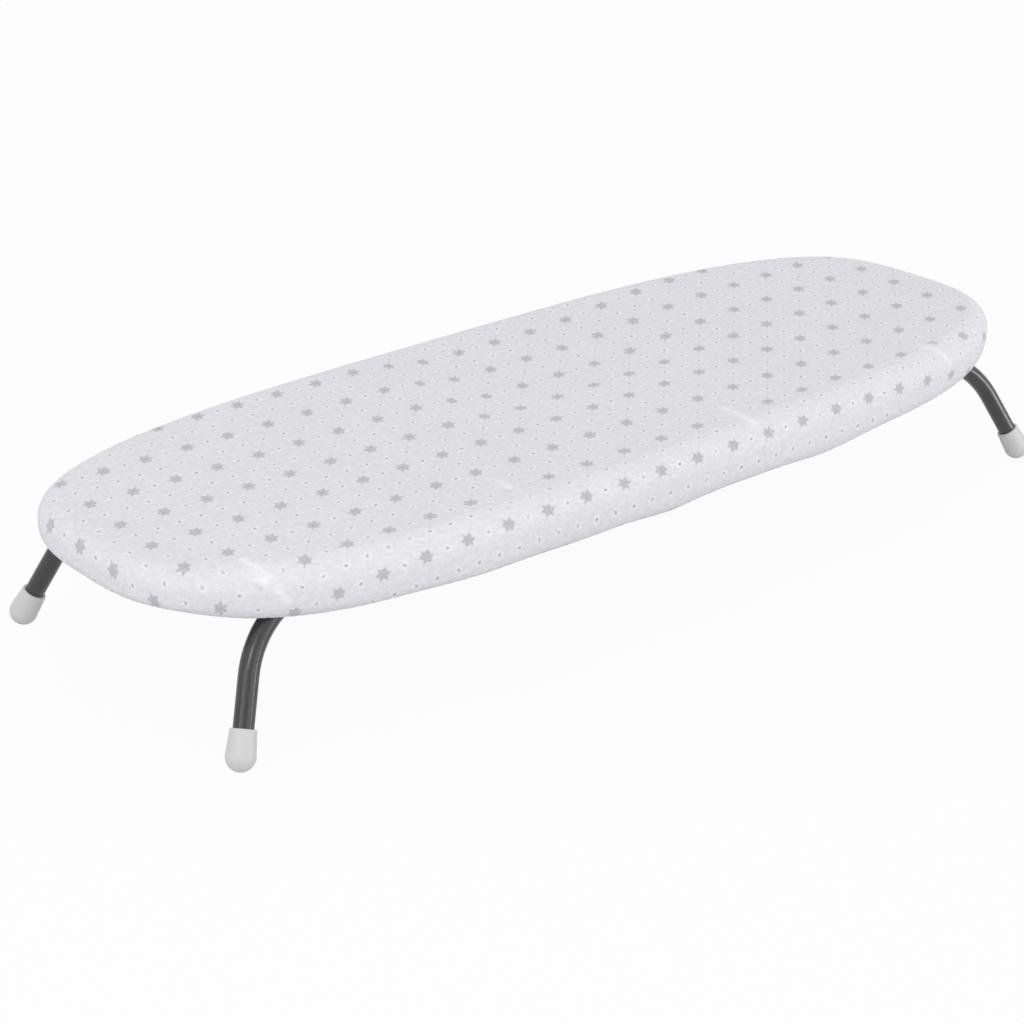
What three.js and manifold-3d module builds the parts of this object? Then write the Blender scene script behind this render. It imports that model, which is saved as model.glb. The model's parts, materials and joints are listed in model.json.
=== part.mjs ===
// Tabletop ironing board on two folding leg frames.
// Millimetres, +Z up. The origin is on the table under the middle of the board.
// +X runs along the board's length, and -Y is its front long side.

import * as THREE from 'three';
import { mergeVertices } from 'three/addons/utils/BufferGeometryUtils.js';
import Module from 'manifold-3d';

const wasm = await Module();
wasm.setup();

// Clearance between two pieces that touch on the real board
const FIT_GAP = 0.3;

// Board: overall size, and the powers of its superellipse outline (2 is an ellipse, more is squarer)
const BOARD_LENGTH = 760;
const BOARD_WIDTH = 285;
const BOARD_HEIGHT = 111;
const LENGTH_POWER = 3.38;
const WIDTH_POWER = 3.04;
const OUTLINE_POINTS = 56;

// Cover: cloth with a rounded top edge, and a skirt that hangs lower on the long sides than at the ends
const COVER_THICKNESS = 0.8;
const EDGE_RADIUS = 14;
const SKIRT_DROP_SIDE = 36.7;
const SKIRT_DROP_END = 25.8;
const SKIRT_BLEND_POWER = 5;
const HEM_RUN = 3.5;
const HEM_RISE = 7;
const ELASTIC_DIAMETER = 2;
const ELASTIC_SIDES = 6;

// Underlay felt: thickness on top, thickness where it wraps the edge, and its gap above the hem's turn
const PAD_THICKNESS = 5;
const PAD_WRAP = 3;
const PAD_HEM_GAP = 0.5;

// Pressed steel panel with a folded flange edge and steam vents
const PANEL_SHEET = 0.8;
const PANEL_BEND = 5;
const PANEL_EDGE_FOLD = 5;
const VENT_DIAMETER = 9;
const VENT_PITCH = 42;
const VENT_EDGE_MARGIN = 34;
const VENT_SIDES = 8;

// Hat-section cross rails under the panel
const RAIL_DEPTH = 12.5;
const RAIL_WEB = 38;
const RAIL_SLOPE = 3;
const RAIL_LIP = 9;
const RAIL_SHEET = 1.2;
const RAIL_END_MARGIN = 5;
const RAIL_SETBACK = 75;

// Bent tube leg frames: tilt is the frame's lean towards its long side, lean is the leg's towards its end
const TUBE_DIAMETER = 12.7;
const TUBE_WALL = 1;
const TUBE_SIDES = 12;
const BEND_RADIUS = 63;
const BEND_STEPS = 8;
const LEG_TILT = THREE.MathUtils.degToRad(20.6);
const LEG_LEAN = THREE.MathUtils.degToRad(23.1);
const HINGE_SETBACK = 48;
const FOOT_SETBACK = 25.7;

// Plastic end caps, worn flat by a hair where they stand
const CAP_WALL = 2.55;
const CAP_MOUTH_WALL = 1.4;
const CAP_GRIP = 15;
const CAP_MOUTH_ROUND = 0.6;
const CAP_FLOOR_WALL = 1;
const CAP_FLAT_DEPTH = 0.5;
const CAP_SEGMENTS = 16;

// Saddle straps, rivets and stop lugs
const STRAP_THICKNESS = 1.2;
const STRAP_WIDTH = 20;
const STRAP_FOOT = 11;
const RIVET_SHANK = 4;
const RIVET_HEAD = 7.2;
const RIVET_HEAD_HEIGHT = 1.8;
const RIVET_TAIL = 6.4;
const RIVET_TAIL_HEIGHT = 1.4;
const RIVET_SEGMENTS = 10;
const STOP_REACH = 9;
const STOP_WIDTH = 5;
const STOP_NOSE = 4.5;
const STOP_WRAP = THREE.MathUtils.degToRad(30);

// Heights down the stack of pieces, worked out from the top of the cover
const tubeRadius = TUBE_DIAMETER / 2;
const panelTop = BOARD_HEIGHT - COVER_THICKNESS - FIT_GAP - PAD_THICKNESS - FIT_GAP;
const railTop = panelTop - PANEL_SHEET - FIT_GAP;
const railBottom = railTop - RAIL_DEPTH;
const hingeHeight = railBottom - FIT_GAP - tubeRadius;

// Insets from the cover's outline to each layer of the edge
const padInset = COVER_THICKNESS + FIT_GAP;
const panelInset = padInset + PAD_WRAP + FIT_GAP;
const foldWidth = 2 * PANEL_SHEET;
const hemRadius = panelInset + foldWidth;
const rollInset = hemRadius + HEM_RUN;
const rollBore = (ELASTIC_DIAMETER / 2 + FIT_GAP) * Math.SQRT2;
const flangeLift = COVER_THICKNESS + foldWidth * Math.tan(Math.PI / 8) + 2 * FIT_GAP;

// Leg frame plane: u runs along the board and v down the leg, from the hinge axis
const boreRadius = tubeRadius + FIT_GAP;
const capRadius = boreRadius + CAP_WALL;
const capMouthRadius = boreRadius + CAP_MOUTH_WALL;
const capCentreHeight = capRadius - CAP_FLAT_DEPTH;
const hingeY = BOARD_WIDTH / 2 - HINGE_SETBACK;
const footX = BOARD_LENGTH / 2 - FOOT_SETBACK;
const legDrop = (hingeHeight - capCentreHeight) / Math.cos(LEG_TILT);
const bendTurn = Math.PI / 2 - LEG_LEAN;
const bendTangent = BEND_RADIUS * Math.tan(bendTurn / 2);
const barEnd = footX - legDrop * Math.tan(LEG_LEAN) - bendTangent;
const railX = barEnd - RAIL_SETBACK;
const railHalfWidth = RAIL_WEB / 2 + RAIL_SLOPE + RAIL_LIP;

// Saddle and rivet places, from the hinge axis
const saddleInner = tubeRadius + FIT_GAP;
const saddleOuter = saddleInner + STRAP_THICKNESS;
const saddleReach = saddleOuter + STRAP_FOOT;
const rivetOffset = (saddleOuter + saddleReach) / 2;
const rivetHole = RIVET_SHANK / 2 + FIT_GAP;
const railHalfLength = hingeY + saddleReach + RAIL_END_MARGIN;

// Finishes
const clothFinish = { color: 0xe2e1e6, roughness: 0.9, metalness: 0 };
const feltFinish = { color: 0xcfcabf, roughness: 1, metalness: 0 };
const elasticFinish = { color: 0xf1f0ec, roughness: 0.8, metalness: 0 };
const sheetFinish = { color: 0xb9bcc0, roughness: 0.45, metalness: 0.9 };
const strapFinish = { color: 0xa9adb2, roughness: 0.4, metalness: 0.95 };
const tubeFinish = { color: 0x3f4043, roughness: 0.35, metalness: 0.4 };
const capFinish = { color: 0xd8d8d8, roughness: 0.5, metalness: 0 };

// A named mesh with its own material
function piece(name, geometry, finish) {
  const mesh = new THREE.Mesh(geometry, new THREE.MeshStandardMaterial(finish));
  mesh.name = name;
  return mesh;
}

// Geometry with only positions and an index, shared vertices merged and zero-width triangles left out
function weld(geometry) {
  const bare = geometry.clone();
  bare.deleteAttribute('normal');
  bare.deleteAttribute('uv');
  const merged = mergeVertices(bare);
  const index = merged.index.array;
  const kept = [];
  for (let i = 0; i < index.length; i += 3) {
    const [a, b, c] = [index[i], index[i + 1], index[i + 2]];
    if (a !== b && b !== c && c !== a) {
      kept.push(a, b, c);
    }
  }
  merged.setIndex(kept);
  return merged;
}

function toSolid(geometry) {
  const welded = weld(geometry);
  const vertProperties = new Float32Array(welded.attributes.position.array);
  const triVerts = new Uint32Array(welded.index.array);
  return new wasm.Manifold(new wasm.Mesh({ numProp: 3, vertProperties, triVerts }));
}

// The body with every cutter taken out of it
function cut(body, cutters) {
  let solid = toSolid(body);
  for (const cutter of cutters) {
    solid = solid.subtract(toSolid(cutter));
  }
  const mesh = solid.getMesh();
  const geometry = new THREE.BufferGeometry();
  geometry.setAttribute('position', new THREE.BufferAttribute(mesh.vertProperties, 3));
  geometry.setIndex(new THREE.BufferAttribute(mesh.triVerts, 1));
  geometry.computeVertexNormals();
  return geometry;
}

// A section drawn in (across, up) and pushed along X or Y, centred on its middle
function extrudeAlong(axis, shape, length) {
  const geometry = new THREE.ExtrudeGeometry(shape, { depth: length, bevelEnabled: false, curveSegments: 5 });
  geometry.translate(0, 0, -length / 2);
  if (axis === 'x') {
    const across = new THREE.Vector3(0, 1, 0);
    const up = new THREE.Vector3(0, 0, 1);
    geometry.applyMatrix4(new THREE.Matrix4().makeBasis(across, up, new THREE.Vector3(1, 0, 0)));
  } else {
    geometry.rotateX(Math.PI / 2);
  }
  return geometry;
}

// A vertical hole cutter
function holeCutter(x, y, z, radius, height, sides) {
  const geometry = new THREE.CylinderGeometry(radius, radius, height, sides);
  geometry.rotateX(Math.PI / 2);
  geometry.translate(x, y, z);
  return geometry;
}

// Point, outward normal and hem height at each step round the cover's superellipse outline
function outlineStations() {
  const halfLength = BOARD_LENGTH / 2;
  const halfWidth = BOARD_WIDTH / 2;
  const stations = [];
  for (let i = 0; i < OUTLINE_POINTS; i += 1) {
    const turn = (2 * Math.PI * i) / OUTLINE_POINTS;
    const along = Math.abs(Math.cos(turn)) ** (2 / LENGTH_POWER);
    const across = Math.abs(Math.sin(turn)) ** (2 / WIDTH_POWER);
    const signX = Math.sign(Math.cos(turn));
    const signY = Math.sign(Math.sin(turn));
    const slopeX = (LENGTH_POWER / halfLength) * along ** (LENGTH_POWER - 1);
    const slopeY = (WIDTH_POWER / halfWidth) * across ** (WIDTH_POWER - 1);
    const normal = new THREE.Vector2(signX * slopeX, signY * slopeY).normalize();
    const sideShare = Math.abs(normal.y) ** SKIRT_BLEND_POWER;
    const drop = SKIRT_DROP_END + (SKIRT_DROP_SIDE - SKIRT_DROP_END) * sideShare;
    stations.push({
      point: new THREE.Vector2(signX * halfLength * along, signY * halfWidth * across),
      normal,
      hemHeight: BOARD_HEIGHT - drop,
    });
  }
  return stations;
}

const stations = outlineStations();

// Section points (inset, height) on an arc: 0 degrees is up, 90 outwards, 180 down and 270 inwards
function arc(centreInset, centreHeight, radius, fromDegrees, toDegrees, steps) {
  const points = [];
  for (let i = 0; i <= steps; i += 1) {
    const angle = THREE.MathUtils.degToRad(fromDegrees + ((toDegrees - fromDegrees) * i) / steps);
    points.push([centreInset - radius * Math.sin(angle), centreHeight + radius * Math.cos(angle)]);
  }
  return points;
}

// A section carried once round the outline. The section may change with the hem's height.
// A ring joins the section's last point to its first; a tray closes both with a flat top.
function sweepRound(sectionAt, isTray) {
  const vertices = [];
  const triangles = [];
  const count = stations.length;
  let size = 0;
  for (const station of stations) {
    const section = sectionAt(station.hemHeight);
    size = section.length;
    for (const [inset, height] of section) {
      const place = station.point.clone().addScaledVector(station.normal, -inset);
      vertices.push(place.x, place.y, height);
    }
  }
  const spans = isTray ? size - 1 : size;
  for (let i = 0; i < count; i += 1) {
    const here = i * size;
    const next = ((i + 1) % count) * size;
    for (let j = 0; j < spans; j += 1) {
      const k = (j + 1) % size;
      triangles.push(here + j, here + k, next + k);
      triangles.push(here + j, next + k, next + j);
    }
  }
  if (isTray) {
    const section = sectionAt(stations[0].hemHeight);
    const upper = vertices.length / 3;
    const lower = upper + 1;
    vertices.push(0, 0, section[0][1], 0, 0, section[size - 1][1]);
    for (let i = 0; i < count; i += 1) {
      const here = i * size;
      const next = ((i + 1) % count) * size;
      triangles.push(upper, here, next);
      triangles.push(lower, next + size - 1, here + size - 1);
    }
  }
  const geometry = new THREE.BufferGeometry();
  geometry.setAttribute('position', new THREE.Float32BufferAttribute(vertices, 3));
  geometry.setIndex(triangles);
  geometry.computeVertexNormals();
  return geometry;
}

// Cloth: over the rounded edge, down the skirt, under the panel's flange and up round the elastic
function coverSection(hemHeight) {
  const edgeHeight = BOARD_HEIGHT - EDGE_RADIUS;
  const turnHeight = hemHeight + hemRadius;
  const rollHeight = hemHeight + HEM_RISE;
  return [
    ...arc(EDGE_RADIUS, edgeHeight, EDGE_RADIUS, 0, 90, 3),
    ...arc(hemRadius, turnHeight, hemRadius, 90, 180, 2),
    ...arc(rollInset, rollHeight, rollBore + COVER_THICKNESS, 180, 360, 2),
    ...arc(rollInset, rollHeight, rollBore, 360, 180, 2),
    ...arc(hemRadius, turnHeight, hemRadius - COVER_THICKNESS, 180, 90, 2),
    ...arc(EDGE_RADIUS, edgeHeight, EDGE_RADIUS - COVER_THICKNESS, 90, 0, 3),
  ];
}

// Felt: follows the inside of the cover, and the outside of the panel's bent edge
function padSection(hemHeight) {
  const lowest = hemHeight + hemRadius + PAD_HEM_GAP;
  const bendInset = panelInset + PANEL_BEND;
  return [
    ...arc(EDGE_RADIUS, BOARD_HEIGHT - EDGE_RADIUS, EDGE_RADIUS - padInset, 0, 90, 3),
    [padInset, lowest],
    [padInset + PAD_WRAP, lowest],
    ...arc(bendInset, panelTop - PANEL_BEND, PANEL_BEND + FIT_GAP, 90, 0, 3),
  ];
}

// Sheet steel: flat deck, rounded bend and a flange whose lower edge is folded back on itself
function panelSection(hemHeight) {
  const lowest = hemHeight + flangeLift;
  const bendInset = panelInset + PANEL_BEND;
  const bendHeight = panelTop - PANEL_BEND;
  return [
    ...arc(bendInset, bendHeight, PANEL_BEND, 0, 90, 3),
    [panelInset, lowest],
    [panelInset + foldWidth, lowest],
    [panelInset + foldWidth, lowest + PANEL_EDGE_FOLD],
    [panelInset + PANEL_SHEET, lowest + PANEL_EDGE_FOLD],
    ...arc(bendInset, bendHeight, PANEL_BEND - PANEL_SHEET, 90, 0, 3),
  ];
}

function elasticSection(hemHeight) {
  const ring = arc(rollInset, hemHeight + HEM_RISE, ELASTIC_DIAMETER / 2, 0, 360, ELASTIC_SIDES);
  ring.pop();
  return ring;
}

// Vent holes on a square grid, kept off the rounded edge and off the rails' seats
function ventCutters() {
  const reachX = BOARD_LENGTH / 2 - VENT_EDGE_MARGIN;
  const reachY = BOARD_WIDTH / 2 - VENT_EDGE_MARGIN;
  const columns = Math.floor(reachX / VENT_PITCH);
  const rows = Math.floor(reachY / VENT_PITCH);
  const cutters = [];
  for (let i = -columns; i <= columns; i += 1) {
    for (let j = -rows; j <= rows; j += 1) {
      const x = i * VENT_PITCH;
      const y = j * VENT_PITCH;
      const spread = Math.abs(x / reachX) ** LENGTH_POWER + Math.abs(y / reachY) ** WIDTH_POWER;
      const fromRail = Math.abs(Math.abs(x) - railX) - railHalfWidth - VENT_DIAMETER / 2;
      if (spread < 1 && fromRail > 0) {
        cutters.push(holeCutter(x, y, panelTop, VENT_DIAMETER / 2, 4 * PANEL_SHEET, VENT_SIDES));
      }
    }
  }
  return cutters;
}

function railShape() {
  const foot = RAIL_WEB / 2;
  const shoulder = foot + RAIL_SLOPE;
  const lowerLip = railTop - RAIL_SHEET;
  const floor = railBottom + RAIL_SHEET;
  const half = [
    [railHalfWidth, railTop],
    [railHalfWidth, lowerLip],
    [shoulder, lowerLip],
    [foot, railBottom],
  ];
  const inside = [
    [foot - RAIL_SHEET, floor],
    [shoulder - RAIL_SHEET, railTop],
  ];
  const mirrored = (points) => points.map(([x, z]) => [-x, z]).reverse();
  const ring = [...half, ...mirrored(half), ...mirrored(inside), ...inside];
  return new THREE.Shape(ring.map(([x, z]) => new THREE.Vector2(x, z)));
}

// A rail with the rivet holes of the saddles under it
function railGeometry(centreX) {
  const body = extrudeAlong('y', railShape(), 2 * railHalfLength);
  body.translate(centreX, 0, 0);
  const holes = [];
  for (const side of [-1, 1]) {
    for (const step of [-1, 1]) {
      const y = side * hingeY + step * rivetOffset;
      holes.push(holeCutter(centreX, y, railBottom, rivetHole, 4 * RAIL_SHEET, RIVET_SEGMENTS));
    }
  }
  return cut(body, holes);
}

// Strap: two flat feet under the rail and a round loop below the crossbar, drawn about the hinge axis
function saddleGeometry() {
  const shape = new THREE.Shape();
  const footTop = tubeRadius;
  const footUnder = footTop - STRAP_THICKNESS;
  shape.moveTo(-saddleReach, footTop);
  shape.lineTo(-saddleInner, footTop);
  shape.lineTo(-saddleInner, 0);
  shape.absarc(0, 0, saddleInner, Math.PI, 2 * Math.PI, false);
  shape.lineTo(saddleInner, footTop);
  shape.lineTo(saddleReach, footTop);
  shape.lineTo(saddleReach, footUnder);
  shape.lineTo(saddleOuter, footUnder);
  shape.lineTo(saddleOuter, 0);
  shape.absarc(0, 0, saddleOuter, 0, -Math.PI, true);
  shape.lineTo(-saddleOuter, footUnder);
  shape.lineTo(-saddleReach, footUnder);
  shape.closePath();
  const holes = [-1, 1].map((step) => {
    const y = step * rivetOffset;
    return holeCutter(0, y, footTop, rivetHole, 4 * STRAP_THICKNESS, RIVET_SEGMENTS);
  });
  return cut(extrudeAlong('x', shape, STRAP_WIDTH), holes);
}

// Rivet with a domed head below and a set tail above; its zero height is the underside of the saddle's foot
function rivetGeometry() {
  const grip = STRAP_THICKNESS + FIT_GAP + RAIL_SHEET;
  const shank = RIVET_SHANK / 2;
  const head = RIVET_HEAD / 2;
  const tail = RIVET_TAIL / 2;
  const headSeat = -FIT_GAP;
  const tailSeat = grip + FIT_GAP;
  const profile = [
    [0, headSeat - RIVET_HEAD_HEIGHT],
    [head * Math.SQRT1_2, headSeat - RIVET_HEAD_HEIGHT * Math.SQRT1_2],
    [head, headSeat],
    [shank, headSeat],
    [shank, tailSeat],
    [tail, tailSeat],
    [tail * Math.SQRT1_2, tailSeat + RIVET_TAIL_HEIGHT],
    [0, tailSeat + RIVET_TAIL_HEIGHT],
  ];
  const geometry = new THREE.LatheGeometry(profile.map(([r, z]) => new THREE.Vector2(r, z)), RIVET_SEGMENTS);
  geometry.rotateX(Math.PI / 2);
  return geometry;
}

// Lug welded to the outer side of the crossbar, its flat top level with the top of the tube
function stopGeometry(side) {
  const seat = tubeRadius + FIT_GAP;
  const reach = tubeRadius + STOP_REACH;
  const upper = Math.asin(tubeRadius / seat);
  const shape = new THREE.Shape();
  if (side > 0) {
    shape.moveTo(seat * Math.cos(upper), tubeRadius);
    shape.absarc(0, 0, seat, upper, -STOP_WRAP, true);
  } else {
    shape.moveTo(-seat * Math.cos(upper), tubeRadius);
    shape.absarc(0, 0, seat, Math.PI - upper, Math.PI + STOP_WRAP, false);
  }
  shape.lineTo(side * reach, tubeRadius - STOP_NOSE);
  shape.lineTo(side * reach, tubeRadius);
  shape.closePath();
  return extrudeAlong('x', shape, STOP_WIDTH);
}

// Centre line of a leg frame in its own plane: leg, bend, crossbar, bend, leg.
// The rings of the tube lie only where the line starts to bend, bends or ends.
class LegFramePath extends THREE.Curve {
  constructor() {
    super();
    const right = [];
    for (let i = 0; i <= BEND_STEPS; i += 1) {
      const turn = (bendTurn * i) / BEND_STEPS;
      const u = barEnd + BEND_RADIUS * Math.sin(turn);
      const v = BEND_RADIUS * (1 - Math.cos(turn));
      right.push({ place: [u, v], run: [Math.cos(turn), Math.sin(turn)] });
    }
    const tubeEnd = CAP_FLOOR_WALL + FIT_GAP;
    const run = [Math.sin(LEG_LEAN), Math.cos(LEG_LEAN)];
    right.push({ place: [footX - run[0] * tubeEnd, legDrop - run[1] * tubeEnd], run });
    const left = right.map(({ place, run: [du, dv] }) => ({ place: [-place[0], place[1]], run: [du, -dv] }));
    this.knots = [...left.reverse(), ...right];
  }

  sample(t, key) {
    const last = this.knots.length - 1;
    const position = Math.min(Math.max(t, 0), 1) * last;
    const i = Math.min(Math.floor(position), last - 1);
    const share = position - i;
    const [au, av] = this.knots[i][key];
    const [bu, bv] = this.knots[i + 1][key];
    return new THREE.Vector3(au + (bu - au) * share, 0, -(av + (bv - av) * share));
  }

  getPoint(t) {
    return this.sample(t, 'place');
  }

  getTangent(t) {
    return this.sample(t, 'run').normalize();
  }

  getUtoTmapping(u) {
    return u;
  }
}

function tubeGeometry() {
  const section = new THREE.Shape();
  section.absarc(0, 0, tubeRadius, 0, 2 * Math.PI, false);
  const bore = new THREE.Path();
  bore.absarc(0, 0, tubeRadius - TUBE_WALL, 0, 2 * Math.PI, true);
  section.holes.push(bore);
  const path = new LegFramePath();
  return new THREE.ExtrudeGeometry(section, {
    extrudePath: path,
    steps: path.knots.length - 1,
    curveSegments: TUBE_SIDES / 2,
    bevelEnabled: false,
  });
}

// Thimble with a round bottom, its axis up the leg and its zero height at the centre of the round
function capGeometry() {
  const mouthHeight = CAP_FLOOR_WALL + CAP_GRIP;
  const bottom = [-90, -67.5, -45, -22.5, 0].map((degrees) => {
    const angle = THREE.MathUtils.degToRad(degrees);
    return [capRadius * Math.cos(angle), capRadius * Math.sin(angle)];
  });
  bottom[0][0] = 0;
  const profile = [
    ...bottom,
    [capMouthRadius, mouthHeight - CAP_MOUTH_ROUND],
    [capMouthRadius - CAP_MOUTH_ROUND, mouthHeight],
    [boreRadius, mouthHeight],
    [boreRadius, CAP_FLOOR_WALL],
    [0, CAP_FLOOR_WALL],
  ];
  const geometry = new THREE.LatheGeometry(profile.map(([r, z]) => new THREE.Vector2(r, z)), CAP_SEGMENTS);
  geometry.rotateX(Math.PI / 2);
  return geometry;
}

// The cap with what lies below the table top cut off, so that it stands on a small flat
function flattenCap(cap) {
  const block = 4 * capRadius;
  const below = new THREE.BoxGeometry(block, block, block);
  below.translate(0, 0, -block / 2);
  const foot = new THREE.Vector3().setFromMatrixPosition(cap.matrixWorld);
  below.translate(foot.x, foot.y, 0);
  below.applyMatrix4(cap.matrixWorld.clone().invert());
  cap.geometry = cut(cap.geometry, [below]);
}

const board = new THREE.Group();
board.add(piece('cover', sweepRound(coverSection, true), clothFinish));
board.add(piece('hem_elastic', sweepRound(elasticSection, false), elasticFinish));
board.add(piece('underlay_pad', sweepRound(padSection, true), feltFinish));
board.add(piece('top_panel', cut(sweepRound(panelSection, true), ventCutters()), sheetFinish));

const ends = { left: -1, right: 1 };
const sides = { front: -1, rear: 1 };

for (const [end, endSign] of Object.entries(ends)) {
  board.add(piece(`cross_rail_${end}`, railGeometry(endSign * railX), sheetFinish));
}

for (const [side, sideSign] of Object.entries(sides)) {
  // Everything on one hinge axis; the leg frame inside it is tilted out towards its long side
  const hinge = new THREE.Group();
  hinge.position.set(0, sideSign * hingeY, hingeHeight);
  board.add(hinge);
  const frame = new THREE.Group();
  frame.rotation.x = sideSign * LEG_TILT;
  hinge.add(frame);
  frame.add(piece(`leg_frame_${side}`, tubeGeometry(), tubeFinish));

  for (const [end, endSign] of Object.entries(ends)) {
    const label = `${side}_${end}`;
    const saddle = piece(`hinge_saddle_${label}`, saddleGeometry(), strapFinish);
    saddle.position.x = endSign * railX;
    hinge.add(saddle);

    for (const [place, step] of [['outer', sideSign], ['inner', -sideSign]]) {
      const rivet = piece(`rivet_${label}_${place}`, rivetGeometry(), strapFinish);
      rivet.position.set(endSign * railX, step * rivetOffset, tubeRadius - STRAP_THICKNESS);
      hinge.add(rivet);
    }

    const stop = piece(`leg_stop_${label}`, stopGeometry(sideSign), tubeFinish);
    stop.position.x = endSign * (railX - STRAP_WIDTH / 2 - FIT_GAP - STOP_WIDTH / 2);
    hinge.add(stop);

    const cap = piece(`foot_cap_${label}`, capGeometry(), capFinish);
    cap.position.set(endSign * footX, 0, -legDrop);
    cap.rotation.y = -endSign * LEG_LEAN;
    frame.add(cap);
    cap.updateWorldMatrix(true, false);
    flattenCap(cap);
  }
}

export default board;
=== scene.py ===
"""Tabletop ironing board: a low folding board under a fitted, printed cotton cover.

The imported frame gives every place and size. Each sub-assembly is a class that works out its
surfaces as numpy arrays, dresses them and hands them to the body that carries them.
Metres, +Z up; +X runs along the board and -Y is its front long side.
"""

import json
import logging
import math
from collections.abc import Callable, Mapping, Sequence
from dataclasses import dataclass, field
from enum import Enum

import bmesh
import bpy
import numpy as np
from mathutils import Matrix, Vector
from mathutils.geometry import delaunay_2d_cdt


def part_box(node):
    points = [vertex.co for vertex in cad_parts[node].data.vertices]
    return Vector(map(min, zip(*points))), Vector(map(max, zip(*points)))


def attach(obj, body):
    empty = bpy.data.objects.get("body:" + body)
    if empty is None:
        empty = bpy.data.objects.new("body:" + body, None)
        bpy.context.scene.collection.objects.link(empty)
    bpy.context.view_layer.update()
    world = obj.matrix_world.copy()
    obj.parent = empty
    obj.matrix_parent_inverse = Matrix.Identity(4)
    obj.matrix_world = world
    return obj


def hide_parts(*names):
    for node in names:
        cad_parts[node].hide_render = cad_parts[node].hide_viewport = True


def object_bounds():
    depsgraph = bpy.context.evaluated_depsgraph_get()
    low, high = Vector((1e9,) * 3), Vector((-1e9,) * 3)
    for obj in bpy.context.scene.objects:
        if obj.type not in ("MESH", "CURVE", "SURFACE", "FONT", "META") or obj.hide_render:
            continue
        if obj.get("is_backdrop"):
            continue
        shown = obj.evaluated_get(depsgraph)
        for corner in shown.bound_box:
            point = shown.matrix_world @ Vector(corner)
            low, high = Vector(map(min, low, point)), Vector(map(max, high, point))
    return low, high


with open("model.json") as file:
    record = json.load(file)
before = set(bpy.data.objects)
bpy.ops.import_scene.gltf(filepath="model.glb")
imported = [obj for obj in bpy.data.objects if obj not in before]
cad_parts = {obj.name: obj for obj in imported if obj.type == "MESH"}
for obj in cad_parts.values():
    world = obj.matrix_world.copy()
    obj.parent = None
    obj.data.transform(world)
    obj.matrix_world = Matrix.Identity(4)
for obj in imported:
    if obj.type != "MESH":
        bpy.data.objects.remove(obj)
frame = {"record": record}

log = logging.getLogger("ironing_board")

Tree = bpy.types.NodeTree
Socket = bpy.types.NodeSocket
Piece = bpy.types.Object
ShaderInputs = dict[str, object]

MM = 0.001
# Unit direction along the board
ALONG = np.array([1.0, 0.0, 0.0])
CLOTH_UV = "flat_cloth"
CREASE_HIGHLIGHT = "crease"
HIGHLIGHT_WASH = "rubbed"
# Blender's wave texture repeats every tenth of pi at a scale of 1
WAVE_PERIOD = math.pi / 10
WELD_DISTANCE = 0.004 * MM
# Edges that turn by more degrees than this shade sharp, and a bevel rounds them
SHARP_ANGLE = 40.0
# Lengths below this count as zero where a vector is divided by its own length
TINY_LENGTH = 1e-12
# Points of the fine polyline that the way round the outline is measured on
OUTLINE_POINTS = 40001
# The triangulation keeps what lies inside the rim, and merges points closer than its tolerance
KEEP_INSIDE = 1
MERGE_TOLERANCE = 1e-7
# Light cotton, by the names of Blender's cloth settings
COTTON = {
    "quality": 6,
    "mass": 0.02,
    "tension_stiffness": 12,
    "compression_stiffness": 12,
    "shear_stiffness": 4,
    "bending_stiffness": 0.05,
    "air_damping": 4,
    "pin_stiffness": 0.6,
}


class Body(Enum):
    """The bodies of the frame that pieces ride on."""

    BOARD = "board"
    FRONT_LEGS = "front_legs"
    REAR_LEGS = "rear_legs"


class Side(Enum):
    """The two long sides of the board; each value is the sign of its Y."""

    FRONT = -1
    REAR = 1

    @property
    def word(self) -> str:
        """The side's name as the frame's nodes write it."""
        return self.name.lower()

    @property
    def legs(self) -> Body:
        """The folding leg frame under this side."""
        return Body.FRONT_LEGS if self is Side.FRONT else Body.REAR_LEGS


class End(Enum):
    """The two ends of the board; each value is the sign of its X."""

    LEFT = -1
    RIGHT = 1

    @property
    def word(self) -> str:
        """The end's name as the frame's nodes write it."""
        return self.name.lower()


def linear(colour: str) -> tuple[float, float, float, float]:
    """Turn an sRGB hex colour into Blender's linear red, green, blue and alpha.

    Args:
        colour: Six hex digits after a hash sign.

    Returns:
        Linear colour by the sRGB standard's own curve, with an alpha of 1.
    """
    coded = np.array([int(colour[i : i + 2], 16) for i in (1, 3, 5)]) / 255
    plain = np.where(coded <= 0.04045, coded / 12.92, ((coded + 0.055) / 1.055) ** 2.4)
    return (*plain.tolist(), 1.0)


def add_node(
    tree: Tree,
    kind: str,
    inputs: Mapping[str, object] | Sequence[object] = (),
    out: str | None = None,
    **options: object,
) -> Socket | None:
    """Add one shader node, set its options, and fill or link its inputs.

    Args:
        tree: Node tree that gets the node.
        kind: Node type without its ShaderNode prefix.
        inputs: Constants, or the outputs that feed the inputs, by name or in the order of those in use.
        out: Name of the output that is wanted, if it isn't the first in use.
        options: The node's own settings, by attribute name.

    Returns:
        The wanted output; a node that ends the tree has none.
    """
    node = tree.nodes.new(f"ShaderNode{kind}")
    for name, value in options.items():
        setattr(node, name, value)
    if isinstance(inputs, Mapping):
        filled = [(node.inputs[name], value) for name, value in inputs.items()]
    else:
        filled = list(zip([socket for socket in node.inputs if socket.enabled], inputs))
    for socket, value in filled:
        if isinstance(value, Socket):
            tree.links.new(value, socket)
        else:
            socket.default_value = value
    if out:
        return node.outputs[out]
    return next((socket for socket in node.outputs if socket.enabled), None)


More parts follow.
